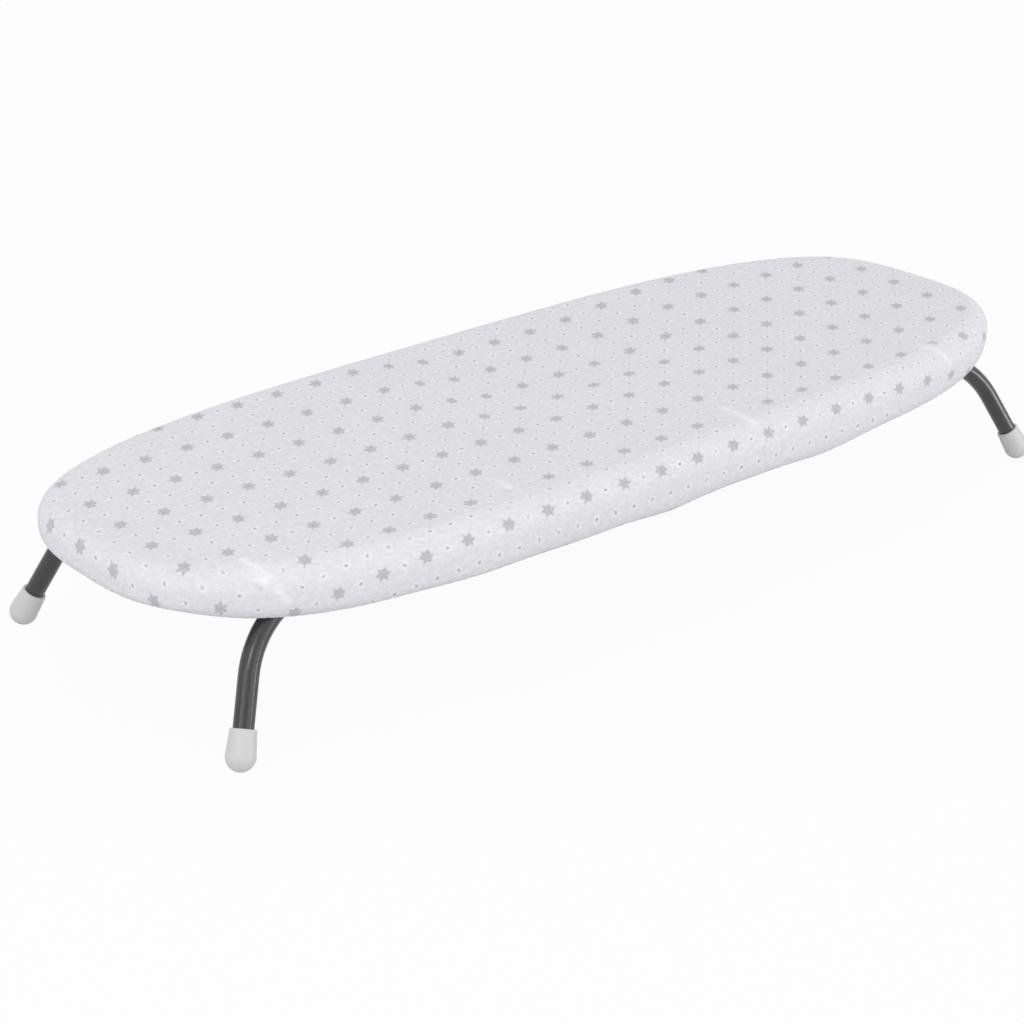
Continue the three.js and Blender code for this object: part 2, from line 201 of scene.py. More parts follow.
def shade(holder: bpy.types.Material | bpy.types.World, surface: Callable[[Tree], Socket]) -> None:
    """Give a material or a world its own shader and nothing else.

    Args:
        holder: What the shader is for.
        surface: Builds the shader in a tree and returns its output.
    """
    holder.use_nodes = True
    tree = holder.node_tree
    tree.nodes.clear()
    kind = "OutputWorld" if isinstance(holder, bpy.types.World) else "OutputMaterial"
    add_node(tree, kind, {"Surface": surface(tree)})


@dataclass(frozen=True)
class Finish:
    """What every finish shares: its name, the record's slot, and its plain colour and shine."""

    label: str
    slot: str
    colour: str
    roughness: float
    metallic: float = 0.0

    def material(self) -> bpy.types.Material:
        """Make the material on first use, and return the same one after that.

        Returns:
            The finished material.
        """
        if self.label in bpy.data.materials:
            return bpy.data.materials[self.label]
        made = bpy.data.materials.new(self.label)
        shade(made, self.shader)
        return made

    def shader(self, tree: Tree) -> Socket:
        """The principled shader: the plain shine, and what the finish's own pattern gives."""
        plain = {"Roughness": self.roughness, "Metallic": self.metallic}
        return add_node(tree, "BsdfPrincipled", plain | self.dress(tree))

    def dress(self, tree: Tree) -> ShaderInputs:
        """Add the finish's own pattern; each finish says what its surface shows."""
        raise NotImplementedError

    def put_on(self, piece: Piece) -> None:
        """Give a piece this finish.

        Args:
            piece: Mesh object to dress.
        """
        piece.data.materials.clear()
        piece.data.materials.append(self.material())


@dataclass(frozen=True)
class PrintedCotton(Finish):
    """Plain woven cotton, bleached and screen printed in grey.

    The cloth scatters light evenly with a faint fuzz of fibre, so the board looks matt and pale.
    Six-pointed stars stand on a lattice, with a pin dot at each half step between them, all drawn
    a little longer along the lattice's diagonal. Along the creases the print is washed out and the
    cloth is painted white: a painted highlight where the creases catch the light.
    Each blot is the range of noise over which the ink thins.
    """

    label: str = "printed_cotton"
    slot: str = "cover_cloth"
    colour: str = "#E0DFE4"
    roughness: float = 0.82
    fuzz: float = 0.15
    fuzz_roughness: float = 0.5
    gloss: float = 0.35
    star_colour: str = "#B7B6BD"
    dot_colour: str = "#A5A4AB"
    halo_colour: str = "#F0EFF4"
    # Painted highlight on the creases, where they catch the light
    crease_colour: str = "#FAFAFC"
    repeat: tuple[float, float] = (33.0 * MM, 37.5 * MM)
    first_star: tuple[float, float] = (-4.5 * MM, -43.7 * MM)
    stretch: float = 1.32
    lean: float = math.radians(49)
    star_size: float = 10.8 * MM
    star_bluntness: float = 0.2
    star_disc: float = 0.62
    star_fading: float = 0.26
    star_blot: tuple[float, float] = (0.3, 0.7)
    dot_fading: float = 0.6
    dot_blot: tuple[float, float] = (0.35, 0.65)
    dot_size: float = 2.2 * MM
    dot_spread: float = 1.3 * MM
    halo_size: float = 5.2 * MM
    ink_spread: float = 0.75 * MM
    ink_blot: float = 2.1 * MM
    string_width: float = 0.7 * MM
    string_beads: int = 12
    string_strength: float = 0.22
    # Cotton threads lie about 0.35 mm apart, which is finer than a pixel, so they are drawn coarser
    thread: float = 1.1 * MM
    thread_height: float = 0.05 * MM
    thread_strength: float = 0.5
    slub: float = 6 * MM
    mottle: float = 70 * MM
    mottle_strength: float = 0.035
    neps: float = 4.5 * MM
    neps_strength: float = 0.24
    # How the creases' painted highlight breaks up
    crease_break: float = 7 * MM
    crease_blot: tuple[float, float] = (0.4, 0.6)
    crease_least: float = 0.4

    def dress(self, tree: Tree) -> ShaderInputs:
        """Print the stars, dots and strings, and weave the cloth under them.

        Args:
            tree: The material's node tree.

        Returns:
            Inputs of the shader, by name.
        """
        cloth = add_node(tree, "UVMap", uv_map=CLOTH_UV)
        blot = add_node(tree, "TexNoise", {"Vector": cloth, "Scale": 1 / self.ink_blot, "Detail": 2.0})
        bare = self.bare_cloth(tree, cloth)
        dot, halo = self.dot_masks(tree, cloth, blot)
        layers = (
            (halo, linear(self.halo_colour)),
            (self.string_mask(tree, cloth), linear(self.star_colour)),
            (dot, linear(self.dot_colour)),
            (self.star_mask(tree, cloth, blot), linear(self.star_colour)),
            # Beside the creases the print washes out to bare cloth and the creases are painted white: a
            # painted highlight
            (add_node(tree, "Attribute", out="Fac", attribute_name=HIGHLIGHT_WASH), bare),
            (self.crease_mask(tree, cloth), linear(self.crease_colour)),
        )
        ground = bare
        for mask, ink in layers:
            ground = add_node(tree, "Mix", (mask, ground, ink), data_type="RGBA")
        return {
            "Base Color": ground,
            "Normal": self.weave(tree, cloth),
            "Sheen Weight": self.fuzz,
            "Sheen Roughness": self.fuzz_roughness,
            "Specular IOR Level": self.gloss,
        }

    def bare_cloth(self, tree: Tree, cloth: Socket) -> Socket:
        """The bleached cloth before printing: slow mottling, and fine neps in the yarn.

        Args:
            tree: The material's node tree.
            cloth: Place on the flat cloth.

        Returns:
            Its colour.
        """
        slow = {"Vector": cloth, "Scale": 1 / self.mottle, "Detail": 3.0}
        fine = {"Vector": cloth, "Scale": 1 / self.neps, "Detail": 4.0, "Roughness": 0.8}
        shades = []
        for noise, strength in ((slow, self.mottle_strength), (fine, self.neps_strength)):
            patches = {"Value": add_node(tree, "TexNoise", noise)}
            limits = {"To Min": 1 - strength, "To Max": 1 + strength}
            shades.append(add_node(tree, "MapRange", patches | limits))
        shaded = add_node(tree, "Math", shades, operation="MULTIPLY")
        return add_node(tree, "VectorMath", (linear(self.colour)[:3], shaded), operation="SCALE")

    def crease_mask(self, tree: Tree, cloth: Socket) -> Socket:
        """Painted highlight along the drag lines, broken up as the creases twist.

        Args:
            tree: The material's node tree.
            cloth: Place on the flat cloth.

        Returns:
            Mask that is 1 where the painted highlight is brightest.
        """
        depth = add_node(tree, "Attribute", out="Fac", attribute_name=CREASE_HIGHLIGHT)
        twist = add_node(tree, "TexNoise", {"Vector": cloth, "Scale": 1 / self.crease_break, "Detail": 3.0})
        left = add_node(tree, "MapRange", (twist, *self.crease_blot, self.crease_least, 1.0))
        return add_node(tree, "Math", (depth, left), operation="MULTIPLY")

    def lattice(self, tree: Tree, cloth: Socket, steps: int) -> Socket:
        """Offset of a point from its nearest lattice node, in metres, along and across the lean.

        The place is divided by the lattice step, only the fraction is kept, and the fraction is
        multiplied by the step again with the node at zero. The offset is then turned back by the
        lean, and its part along the lean is divided by the stretch.

        Args:
            tree: The material's node tree.
            cloth: Place on the flat cloth.
            steps: Lattice steps in one repeat of the print.

        Returns:
            The offset as a vector.
        """
        step = np.array(self.repeat) / steps
        shift = 0.5 - np.array(self.first_star) / step
        in_steps = {"Vector": cloth, "Location": (*shift, 0), "Scale": (*(1 / step), 0)}
        part = add_node(tree, "VectorMath", (add_node(tree, "Mapping", in_steps),), operation="FRACTION")
        centred = (part, (*step, 0), (*(-step / 2), 0))
        offset = add_node(tree, "VectorMath", centred, operation="MULTIPLY_ADD")
        drawn = {"Vector": offset, "Rotation": (0, 0, self.lean), "Scale": (self.stretch, 1, 1)}
        return add_node(tree, "Mapping", drawn, vector_type="TEXTURE")

    def star_mask(self, tree: Tree, cloth: Socket, blot: Socket) -> Socket:
        """A six-pointed star at each lattice node, its edge a little blotted.

        A star is two triangles, one turned over. A triangle holds the points whose farthest reach
        along its three spokes is less than a quarter of the star's width. A share of the plain
        distance from the middle blunts the points. The ink is thinner where the blot is strong.

        Args:
            tree: The material's node tree.
            cloth: Place on the flat cloth.
            blot: Noise that roughens the ink's edge.

        Returns:
            Mask that is 1 inside a star.
        """
        offset = self.lattice(tree, cloth, 1)
        spokes = unit_circle(np.radians([0, 120, 240])).tolist()
        reach = [
            add_node(tree, "VectorMath", (offset, (*spoke, 0)), operation="DOT_PRODUCT")
            for spoke in spokes
        ]
        far, near = reach[0], reach[0]
        for other in reach[1:]:
            far = add_node(tree, "Math", (far, other), operation="MAXIMUM")
            near = add_node(tree, "Math", (near, other), operation="MINIMUM")
        turned = add_node(tree, "Math", (near, -1.0), operation="MULTIPLY")
        star = add_node(tree, "Math", (far, turned), operation="MINIMUM")
        away = add_node(tree, "VectorMath", (offset,), operation="LENGTH")
        disc = add_node(tree, "Math", (away, self.star_disc), operation="MULTIPLY")
        blunt = add_node(tree, "Mix", (self.star_bluntness, star, disc))
        rough = add_node(tree, "Math", (blot, 2 * self.ink_spread, blunt), operation="MULTIPLY_ADD")
        edge = (self.star_size / 4, self.star_size / 4 + 2 * self.ink_spread)
        inked = add_node(tree, "MapRange", (rough, *edge, 1.0, 0.0), interpolation_type="SMOOTHSTEP")
        faded = add_node(tree, "MapRange", (blot, *self.star_blot, 1.0, 1 - self.star_fading))
        return add_node(tree, "Math", (inked, faded), operation="MULTIPLY")

    def dot_masks(self, tree: Tree, cloth: Socket, blot: Socket) -> tuple[Socket, Socket]:
        """An uneven pin dot at every half step of the lattice, and the broken ring bleached round it.

        Args:
            tree: The material's node tree.
            cloth: Place on the flat cloth.
            blot: Noise that fades the dots and breaks the rings.

        Returns:
            The dot's mask and the ring's mask.
        """
        offset = self.lattice(tree, cloth, 2)
        away = add_node(tree, "VectorMath", (offset,), operation="LENGTH")
        dot = (self.dot_size, self.dot_spread, (1.0, 1 - self.dot_fading))
        halo = (self.halo_size, self.halo_size / 2, (0.0, 1.0))
        masks = []
        for size, soft, left in (dot, halo):
            edge = ((size - soft) / 2, (size + soft) / 2)
            mask = add_node(tree, "MapRange", (away, *edge, 1.0, 0.0), interpolation_type="SMOOTHSTEP")
            share = add_node(tree, "MapRange", (blot, *self.dot_blot, *left))
            masks.append(add_node(tree, "Math", (mask, share), operation="MULTIPLY"))
        return masks[0], masks[1]

    def string_mask(self, tree: Tree, cloth: Socket) -> Socket:
        """A faint beaded string along the lattice's diagonal, from star to star.

        In lattice steps, the difference of the two places is whole on a string, and their sum
        runs along it. Across a string the ink is as wide as the string, and along it as a bead.

        Args:
            tree: The material's node tree.
            cloth: Place on the flat cloth.

        Returns:
            Mask of the beads, already faint.
        """
        step = np.array(self.repeat)
        shift = -np.array(self.first_star) / step
        in_steps = {"Vector": cloth, "Location": (*shift, 0), "Scale": (*(1 / step), 0)}
        cell = add_node(tree, "Mapping", in_steps)
        spacing = float(np.prod(step) / np.hypot(*step))
        bead = self.string_beads / 2
        ways = (((1.0, -1.0, 0), self.string_width / spacing), ((bead, bead, 0), 0.5))
        strands = []
        for way, width in ways:
            place = add_node(tree, "VectorMath", (cell, way), operation="DOT_PRODUCT")
            swing = add_node(tree, "Math", (place, 0.5), operation="PINGPONG")
            strands.append(add_node(tree, "MapRange", (swing, 0.0, width, 1.0, 0.0)))
        beaded = add_node(tree, "Math", strands, operation="MULTIPLY")
        return add_node(tree, "Math", (beaded, self.string_strength), operation="MULTIPLY")

    def weave(self, tree: Tree, cloth: Socket) -> Socket:
        """Bump of the crossing threads, with slubs where a thread swells.

        Args:
            tree: The material's node tree.
            cloth: Place on the flat cloth.

        Returns:
            The bumped normal.
        """
        bands = {"Vector": cloth, "Scale": WAVE_PERIOD / self.thread, "Distortion": 0.6, "Detail": 1.0}
        threads = [add_node(tree, "TexWave", bands, out="Fac", bands_direction=way) for way in "XY"]
        crossed = add_node(tree, "Math", threads, operation="MULTIPLY")
        slub = add_node(tree, "TexNoise", {"Vector": cloth, "Scale": 1 / self.slub, "Detail": 4.0})
        height = add_node(tree, "Math", (crossed, slub), operation="ADD")
        relief = {"Strength": self.thread_strength, "Distance": self.thread_height, "Height": height}
        return add_node(tree, "Bump", relief)


@dataclass(frozen=True, kw_only=True)
class TwoToned(Finish):
    """A finish whose colour passes into a second one, over a fine relief.

    Where the surface is worn unevenly, its roughness runs from the glossier to the duller side of
    its plain value.
    """

    second_colour: str
    relief: float
    glossier: float = 0.0
    duller: float = 0.0

    def surface(
        self, tree: Tree, share: Socket, height: Socket, wear_and_glint: Socket | None = None
    ) -> ShaderInputs:
        """What the shader takes from a pattern: the mixed tones, the relief and the worn shine.

        Args:
            tree: The material's node tree.
            share: Share of the second colour.
            height: Height in the relief, from 0 to 1.
            wear_and_glint: How worn the surface is, if that changes its shine.

        Returns:
            Inputs of the shader, by name.
        """
        tones = (share, linear(self.colour), linear(self.second_colour))
        inputs = {
            "Base Color": add_node(tree, "Mix", tones, data_type="RGBA"),
            "Normal": add_node(tree, "Bump", {"Distance": self.relief, "Height": height}),
        }
        if wear_and_glint is not None:
            limits = {"To Min": self.roughness - self.glossier, "To Max": self.roughness + self.duller}
            inputs["Roughness"] = add_node(tree, "MapRange", {"Value": wear_and_glint} | limits)
        return inputs


@dataclass(frozen=True)
class SewingThread(TwoToned):
    """Twisted white sewing cotton: matt, with the slant of its plies, and painted shade between them."""

    label: str = "sewing_thread"
    slot: str = "cover_cloth"
    # Painted shade in the grooves between the plies; the second colour is the raised yarn
    colour: str = "#CFCED4"
    second_colour: str = "#EDECEF"
    roughness: float = 0.8
    relief: float = 0.06 * MM
    ply: float = 0.6 * MM

    def dress(self, tree: Tree) -> ShaderInputs:
        """Slant the plies across the thread, with painted shade in the grooves between them.

        Args:
            tree: The material's node tree.

        Returns:
            Inputs of the shader, by name.
        """
        place = add_node(tree, "TexCoord", out="Object")
        bands = {"Vector": place, "Scale": WAVE_PERIOD / self.ply}
        ply = add_node(tree, "TexWave", bands, out="Fac", bands_direction="DIAGONAL")
        return self.surface(tree, ply, ply)


@dataclass(frozen=True)
class NeedledFelt(TwoToned):
    """Needle-punched felt of waste fibres: soft, flecked and quite matt."""

    label: str = "needled_felt"
    slot: str = "felt"
    colour: str = "#CFCABF"
    second_colour: str = "#9FA0A4"
    roughness: float = 0.96
    relief: float = 0.35 * MM
    fuzz: float = 0.3
    fibre: float = 1.6 * MM
    clump: float = 9 * MM
    fleck_range: tuple[float, float] = (0.5, 0.72)
    fleck_strength: float = 0.7

    def dress(self, tree: Tree) -> ShaderInputs:
        """Fleck the felt with darker fibres and raise its tufts.

        Args:
            tree: The material's node tree.

        Returns:
            Inputs of the shader, by name.
        """
        place = add_node(tree, "TexCoord", out="Object")
        fibres = {"Vector": place, "Scale": 1 / self.fibre, "Detail": 5.0, "Distortion": 1.5}
        fibre = add_node(tree, "TexNoise", fibres)
        clump = add_node(tree, "TexNoise", {"Vector": place, "Scale": 1 / self.clump, "Detail": 3.0})
        fleck = add_node(tree, "MapRange", (fibre, *self.fleck_range, 0.0, self.fleck_strength))
        pile = add_node(tree, "Math", (fibre, clump), operation="ADD")
        return self.surface(tree, fleck, pile) | {"Sheen Weight": self.fuzz}


@dataclass(frozen=True)
class BraidedElastic(TwoToned):
    """Braided elastic cord: white polyester yarns over rubber, slightly ribbed, with painted shade in the
    grooves.
    """

    label: str = "braided_elastic"
    slot: str = "elastic"
    # Painted shade in the grooves of the braid; the second colour is the raised yarn
    colour: str = "#C9C7C0"
    second_colour: str = "#F1F0EC"
    roughness: float = 0.75
    relief: float = 0.12 * MM
    yarn: float = 0.8 * MM

    def dress(self, tree: Tree) -> ShaderInputs:
        """Cross two slanted sets of yarns over the cord, with painted shade in the grooves between them.

        Args:
            tree: The material's node tree.

        Returns:
            Inputs of the shader, by name.
        """
        place = add_node(tree, "TexCoord", out="Object")
        bands = {"Vector": place, "Scale": WAVE_PERIOD / self.yarn, "Distortion": 0.4}
        ways = ("DIAGONAL", "Z")
        yarns = [add_node(tree, "TexWave", bands, out="Fac", bands_direction=way) for way in ways]
        braid = add_node(tree, "Math", yarns, operation="MAXIMUM")
        return self.surface(tree, braid, braid)


@dataclass(frozen=True)
class CoatedSheet(TwoToned):
    """Pressed steel sheet with a stoved grey coating: even, slightly pebbled and half glossy."""

    label: str = "grey_coated_sheet"
    slot: str = "panel_steel"
    colour: str = "#B9BCC0"
    second_colour: str = "#9DA1A6"
    roughness: float = 0.42
    glossier: float = 0.08
    duller: float = 0.14
    relief: float = 0.05 * MM
    pebble: float = 1.8 * MM
    scuff: float = 60 * MM
    scuff_range: tuple[float, float] = (0.45, 0.75)
    scuff_strength: float = 0.55

    def dress(self, tree: Tree) -> ShaderInputs:
        """Pebble the coating and vary its tone and shine with long handling scuffs.

        Args:
            tree: The material's node tree.

        Returns:
            Inputs of the shader, by name.
        """
        place = add_node(tree, "TexCoord", out="Object")
        pebble = add_node(tree, "TexNoise", {"Vector": place, "Scale": 1 / self.pebble, "Detail": 2.0})
        scuffs = {"Vector": place, "Scale": 1 / self.scuff, "Detail": 6.0, "Distortion": 0.8}
        scuff = add_node(tree, "TexNoise", scuffs)
        worn = add_node(tree, "MapRange", (scuff, *self.scuff_range, 0.0, self.scuff_strength))
        return self.surface(tree, worn, pebble, scuff)


@dataclass(frozen=True)
class ZincPlate(TwoToned):
    """Zinc plated steel strip: a cool bright metal with faint crystals and drawn scratches."""

    label: str = "zinc_plate"
    slot: str = "strap_steel"
    colour: str = "#B4B8BD"
    second_colour: str = "#9DA3AB"
    roughness: float = 0.34
    glossier: float = 0.1
    duller: float = 0.16
    metallic: float = 1.0
    relief: float = 0.02 * MM
    crystal: float = 5 * MM
    scratch: float = 0.9 * MM
    scratch_squeeze: float = 0.08

    def dress(self, tree: Tree) -> ShaderInputs:
        """Shade the crystals apart and scratch the strip lengthwise.

        Args:
            tree: The material's node tree.

        Returns:
            Inputs of the shader, by name.
        """
        place = add_node(tree, "TexCoord", out="Object")
        crystals = {"Vector": place, "Scale": 1 / self.crystal}
        tone = add_node(tree, "SeparateColor", (add_node(tree, "TexVoronoi", crystals, out="Color"),))
        drawn = add_node(tree, "Mapping", {"Vector": place, "Scale": (1.0, self.scratch_squeeze, 1.0)})
        scratch = add_node(tree, "TexNoise", {"Vector": drawn, "Scale": 1 / self.scratch, "Detail": 3.0})
        return self.surface(tree, tone, scratch, scratch)


@dataclass(frozen=True)
class LegEnamel(TwoToned):
    """Stoved enamel on steel tube: dark grey, half glossy, with the slight peel of sprayed paint."""

    label: str = "leg_enamel"
    slot: str = "leg_paint"
    colour: str = "#252527"
    second_colour: str = "#2F2F31"
    roughness: float = 0.24
    glossier: float = 0.06
    duller: float = 0.1
    gloss: float = 0.65
    relief: float = 0.03 * MM
    peel: float = 2.2 * MM
    rub: float = 28 * MM

    def dress(self, tree: Tree) -> ShaderInputs:
        """Ripple the paint film and dull it where hands rub it.

        Args:
            tree: The material's node tree.

        Returns:
            Inputs of the shader, by name.
        """
        place = add_node(tree, "TexCoord", out="Object")
        peel = add_node(tree, "TexNoise", {"Vector": place, "Scale": 1 / self.peel, "Detail": 1.0})
        rub = add_node(tree, "TexNoise", {"Vector": place, "Scale": 1 / self.rub, "Detail": 5.0})
        return self.surface(tree, rub, peel, rub) | {"Specular IOR Level": self.gloss}


@dataclass(frozen=True)
class CapPlastic(TwoToned):
    """Moulded polyethylene: pale grey, satin, a little waxy, scuffed where the foot stands."""

    label: str = "cap_polyethylene"
    slot: str = "cap_plastic"
    colour: str = "#CDCDCD"
    second_colour: str = "#A9A9AA"
    roughness: float = 0.4
    relief: float = 0.02 * MM
    wax: float = 0.1
    wax_depth: float = 2 * MM
    grain: float = 0.9 * MM
    scuff: float = 4 * MM
    scuff_reach: float = 2.5 * MM

    def dress(self, tree: Tree) -> ShaderInputs:
        """Grain the moulding and scuff the lowest band of the foot.

        Args:
            tree: The material's node tree.

        Returns:
            Inputs of the shader, by name.
        """
        place = add_node(tree, "TexCoord", out="Object")
        height = add_node(tree, "SeparateXYZ", (place,), out="Z")
        low = add_node(tree, "MapRange", (height, 0.0, self.scuff_reach, 1.0, 0.0))
        scuff = add_node(tree, "TexNoise", {"Vector": place, "Scale": 1 / self.scuff, "Detail": 6.0})
        worn = add_node(tree, "Math", (low, scuff), operation="MULTIPLY")
        grain = add_node(tree, "TexNoise", {"Vector": place, "Scale": 1 / self.grain, "Detail": 2.0})
        waxy = {
            "Subsurface Weight": self.wax,
            "Subsurface Radius": (self.wax_depth,) * 3,
            "Subsurface Scale": 1.0,
        }
        return self.surface(tree, worn, grain) | waxy


def full_turn(count: int) -> np.ndarray:
    """Turns that divide a circle evenly, in radians."""
    return np.linspace(0, 2 * math.pi, count, endpoint=False)


def arc(start: float, end: float, count: int) -> np.ndarray:
    """Evenly spaced turns from one angle to another, given in degrees and returned in radians."""
    return np.radians(np.linspace(start, end, count))


def unit_circle(turn: np.ndarray) -> np.ndarray:
    """Points of the unit circle at turns in radians: the cosine and the sine."""
    return np.stack([np.cos(turn), np.sin(turn)], axis=-1)


def lathe(
    profile: Sequence[tuple[Sequence[float], Sequence[float]]],
    centre: np.ndarray,
    axes: np.ndarray,
    sides: int,
) -> np.ndarray:
    """A profile turned about an axis: each of its points becomes a circle of its radius at its height.

    Args:
        profile: Stretches of the profile, each as radii and heights.
        centre: Point of the axis at height zero.
        axes: Two unit directions across the axis and the one along it, a row each.
        sides: Points in each circle.

    Returns:
        Places in space, profile points by sides by three.
    """
    radius, height = (np.concatenate(parts)[:, None, None] for parts in zip(*profile))
    turn = full_turn(sides)[:, None]
    spoke = np.cos(turn) * axes[0] + np.sin(turn) * axes[1]
    return centre + height * axes[2] + radius * spoke


def grid_quads(rows: int, columns: int) -> np.ndarray:
    """Corner numbers of the quads of a grid whose points are listed row by row.

    Each quad joins a point to the next in its row and to the pair beside them in the next row. The
    rows close on themselves.

    Args:
        rows: Rows of points.
        columns: Points in a row.

    Returns:
        Array of four point numbers a quad.
    """
    row = np.arange(rows - 1)[:, None]
    column = np.arange(columns)[None, :]
    after = (column + 1) % columns
    corners = (row * columns + column, row * columns + after)
    corners += ((row + 1) * columns + after, (row + 1) * columns + column)
    return np.stack(corners, axis=-1).reshape(-1, 4)


def rounded_line(corners: Sequence[tuple[float, float]], bend: float, steps: int = 6) -> np.ndarray:
    """A bent line with each inner corner rounded by a parabola.

    The parabola starts and ends one bend length from the corner, along the two straight runs, and
    is pulled towards the corner: squares of what is left and done weigh its ends, and twice their
    product weighs the corner.

    Args:
        corners: Points of the line.
        bend: Length of straight run that each rounding takes up on both sides of a corner.
        steps: Points in each rounding.

    Returns:
        Points of the rounded line.
    """
    line = np.asarray(corners, dtype=float)
    runs = np.diff(line, axis=0)
    runs /= np.linalg.norm(runs, axis=1, keepdims=True)
    corner = line[1:-1, None]
    before = corner - bend * runs[:-1, None]
    after = corner + bend * runs[1:, None]
    done = np.linspace(0, 1, steps)[None, :, None]
    curve = (1 - done) ** 2 * before + 2 * done * (1 - done) * corner + done**2 * after
    return np.concatenate([line[:1], curve.reshape(-1, 2), line[-1:]])


def signed_volume(mesh: bpy.types.Mesh) -> float:
    """Volume that a closed mesh holds, negative where its faces point inwards.

    Each triangle and the origin make a tetrahedron, a sixth of the box that its corners span, and
    the signed tetrahedra add up.

    Args:
        mesh: A closed mesh.

    Returns:
        The signed volume in cubic metres.
    """
    mesh.calc_loop_triangles()
    points = np.empty(len(mesh.vertices) * 3)
    mesh.vertices.foreach_get("co", points)
    corners = np.empty(len(mesh.loop_triangles) * 3, dtype=np.int32)
    mesh.loop_triangles.foreach_get("vertices", corners)
    a, b, c = points.reshape(-1, 3)[corners.reshape(-1, 3)].transpose(1, 0, 2)
    return float(np.einsum("ij,ij->i", a, np.cross(b, c)).sum() / 6)


def make_piece(
    name: str,
    points: np.ndarray,
    faces: Sequence[Sequence[int]] | np.ndarray | None = None,
    sharp: float = SHARP_ANGLE,
    closed: bool = True,
) -> Piece:
    """Make an object at the origin from points and faces, its seams and poles merged.

    Args:
        name: Name of the piece.
        points: Any array of points whose last axis is x, y and z.
        faces: Point numbers of each face; without them the points are a grid of closed rows.
        sharp: Angle in degrees past which an edge shades sharp.
        closed: Whether the faces close a volume, which are then turned to point outwards.

    Returns:
        The new object, linked to the scene.
    """
    if faces is None:
        faces = grid_quads(*points.shape[:2])
    mesh = bpy.data.meshes.new(name)
    mesh.from_pydata(points.reshape(-1, 3).tolist(), [], [list(map(int, face)) for face in faces])
    shape = bmesh.new()
    shape.from_mesh(mesh)
    bmesh.ops.remove_doubles(shape, verts=shape.verts, dist=WELD_DISTANCE)
    bmesh.ops.dissolve_degenerate(shape, edges=shape.edges, dist=WELD_DISTANCE)
    shape.to_mesh(mesh)
    shape.free()
    if closed and signed_volume(mesh) < 0:
        mesh.flip_normals()
    mesh.shade_smooth()
    mesh.set_sharp_from_angle(angle=math.radians(sharp))
    piece = bpy.data.objects.new(name, mesh)
    bpy.context.scene.collection.objects.link(piece)
    return piece


def soften_edges(piece: Piece, width: float) -> None:
    """Round the sharp edges of a piece with a narrow bevel.

    Args:
        piece: Mesh object with sharp edges.
        width: Width of the rounding in metres.
    """
    bevel = piece.modifiers.new("eased_edges", "BEVEL")
    bevel.width = width
    bevel.segments = 2
    bevel.limit_method = "ANGLE"
    bevel.angle_limit = math.radians(SHARP_ANGLE)
    bevel.harden_normals = True


def thicken(piece: Piece, label: str, thickness: float) -> None:
    """Give a bare sheet its thickness, behind the face that it shows.

    Args:
        piece: Mesh object of one layer.
        label: Name of the modifier.
        thickness: Thickness in metres.
    """
    wall = piece.modifiers.new(label, "SOLIDIFY")
    wall.thickness = thickness
    wall.offset = -1


def hand_over(piece: Piece, body: Body, finish: Finish, *nodes: str) -> None:
    """Dress a piece, let it ride on its body and stand for its nodes, and report it.

    Args:
        piece: The finished mesh object.
        body: Body of the frame that carries it.
        finish: What its surface is.
        nodes: Frame nodes that it stands for.
    """
    finish.put_on(piece)
    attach(piece, body.value)
    if nodes:
        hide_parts(*nodes)
    log.info("%s rides on %s, %d faces", piece.name, body.value, len(piece.data.polygons))


@dataclass(frozen=True)
class BoardOutline:
    """The rounded outline that the cover, felt and panel share, a superellipse.

    The distance along, over half the length, raised to one power, and the distance across, over
    half the width, raised to another, add up to 1.
    """

    half_length: float
    half_width: float
    length_power: float = 3.38
    width_power: float = 3.04

    def at(self, turn: np.ndarray) -> tuple[np.ndarray, np.ndarray]:
        """Points and outward normals at turns round the outline.

        A point's distance along is the cosine of its turn raised to 2 over the power, and across
        the sine likewise. The normal follows the slope of the superellipse's formula.

        Args:
            turn: Turns in radians.

        Returns:
            Points and unit normals, one row each.
        """
        halves = np.array([self.half_length, self.half_width])
        powers = np.array([self.length_power, self.width_power])
        circle = unit_circle(turn)
        reach = np.abs(circle) ** (2 / powers)
        points = np.sign(circle) * halves * reach
        normals = np.sign(circle) * powers / halves * reach ** (powers - 1)
        return points, normals / np.linalg.norm(normals, axis=-1, keepdims=True)

    def stations(self, count: int, corner_share: float) -> tuple[np.ndarray, np.ndarray]:
        """Points and normals spread evenly round the outline, closer together at its corners.

        The way round is measured on a fine polyline. Each short step counts for its length plus
        the share times the turn of its normal, and the stations divide that sum evenly.

        Args:
            count: Number of stations.
            corner_share: Length in metres that a turn of one radian counts for.

        Returns:
            Points and unit normals, one row each.
        """
        fine = np.linspace(0, 2 * math.pi, OUTLINE_POINTS)
        points, normals = self.at(fine)
        heading = np.unwrap(np.arctan2(normals[:, 1], normals[:, 0]))
        step = np.linalg.norm(np.diff(points, axis=0), axis=1) + corner_share * np.abs(np.diff(heading))
        travelled = np.concatenate([[0], np.cumsum(step)])
        wanted = np.arange(count) / count * travelled[-1]
        return self.at(np.interp(wanted, travelled, fine))

    def close_in(self, points: np.ndarray, rim: np.ndarray, shares: np.ndarray) -> np.ndarray:
        """Rings from a level rim to the middle line, each a share of the way from the line to the rim.

        The line stops half a width short of each end, so that the rings keep the outline's form.

        Args:
            points: Outline points, one a station.
            rim: Places of the rim at those stations.
            shares: Share of each ring, 0 on the middle line.

        Returns:
            Places in space, rings by stations by three.
        """
        reach = self.half_length - self.half_width
        middle = np.stack([np.clip(points[:, 0], -reach, reach), np.zeros(len(points))], axis=-1)
        share = shares[:, None, None]
        level = share * rim[:, :2] + (1 - share) * middle
        return np.concatenate([level, np.full((*level.shape[:2], 1), rim[0, 2])], axis=-1)


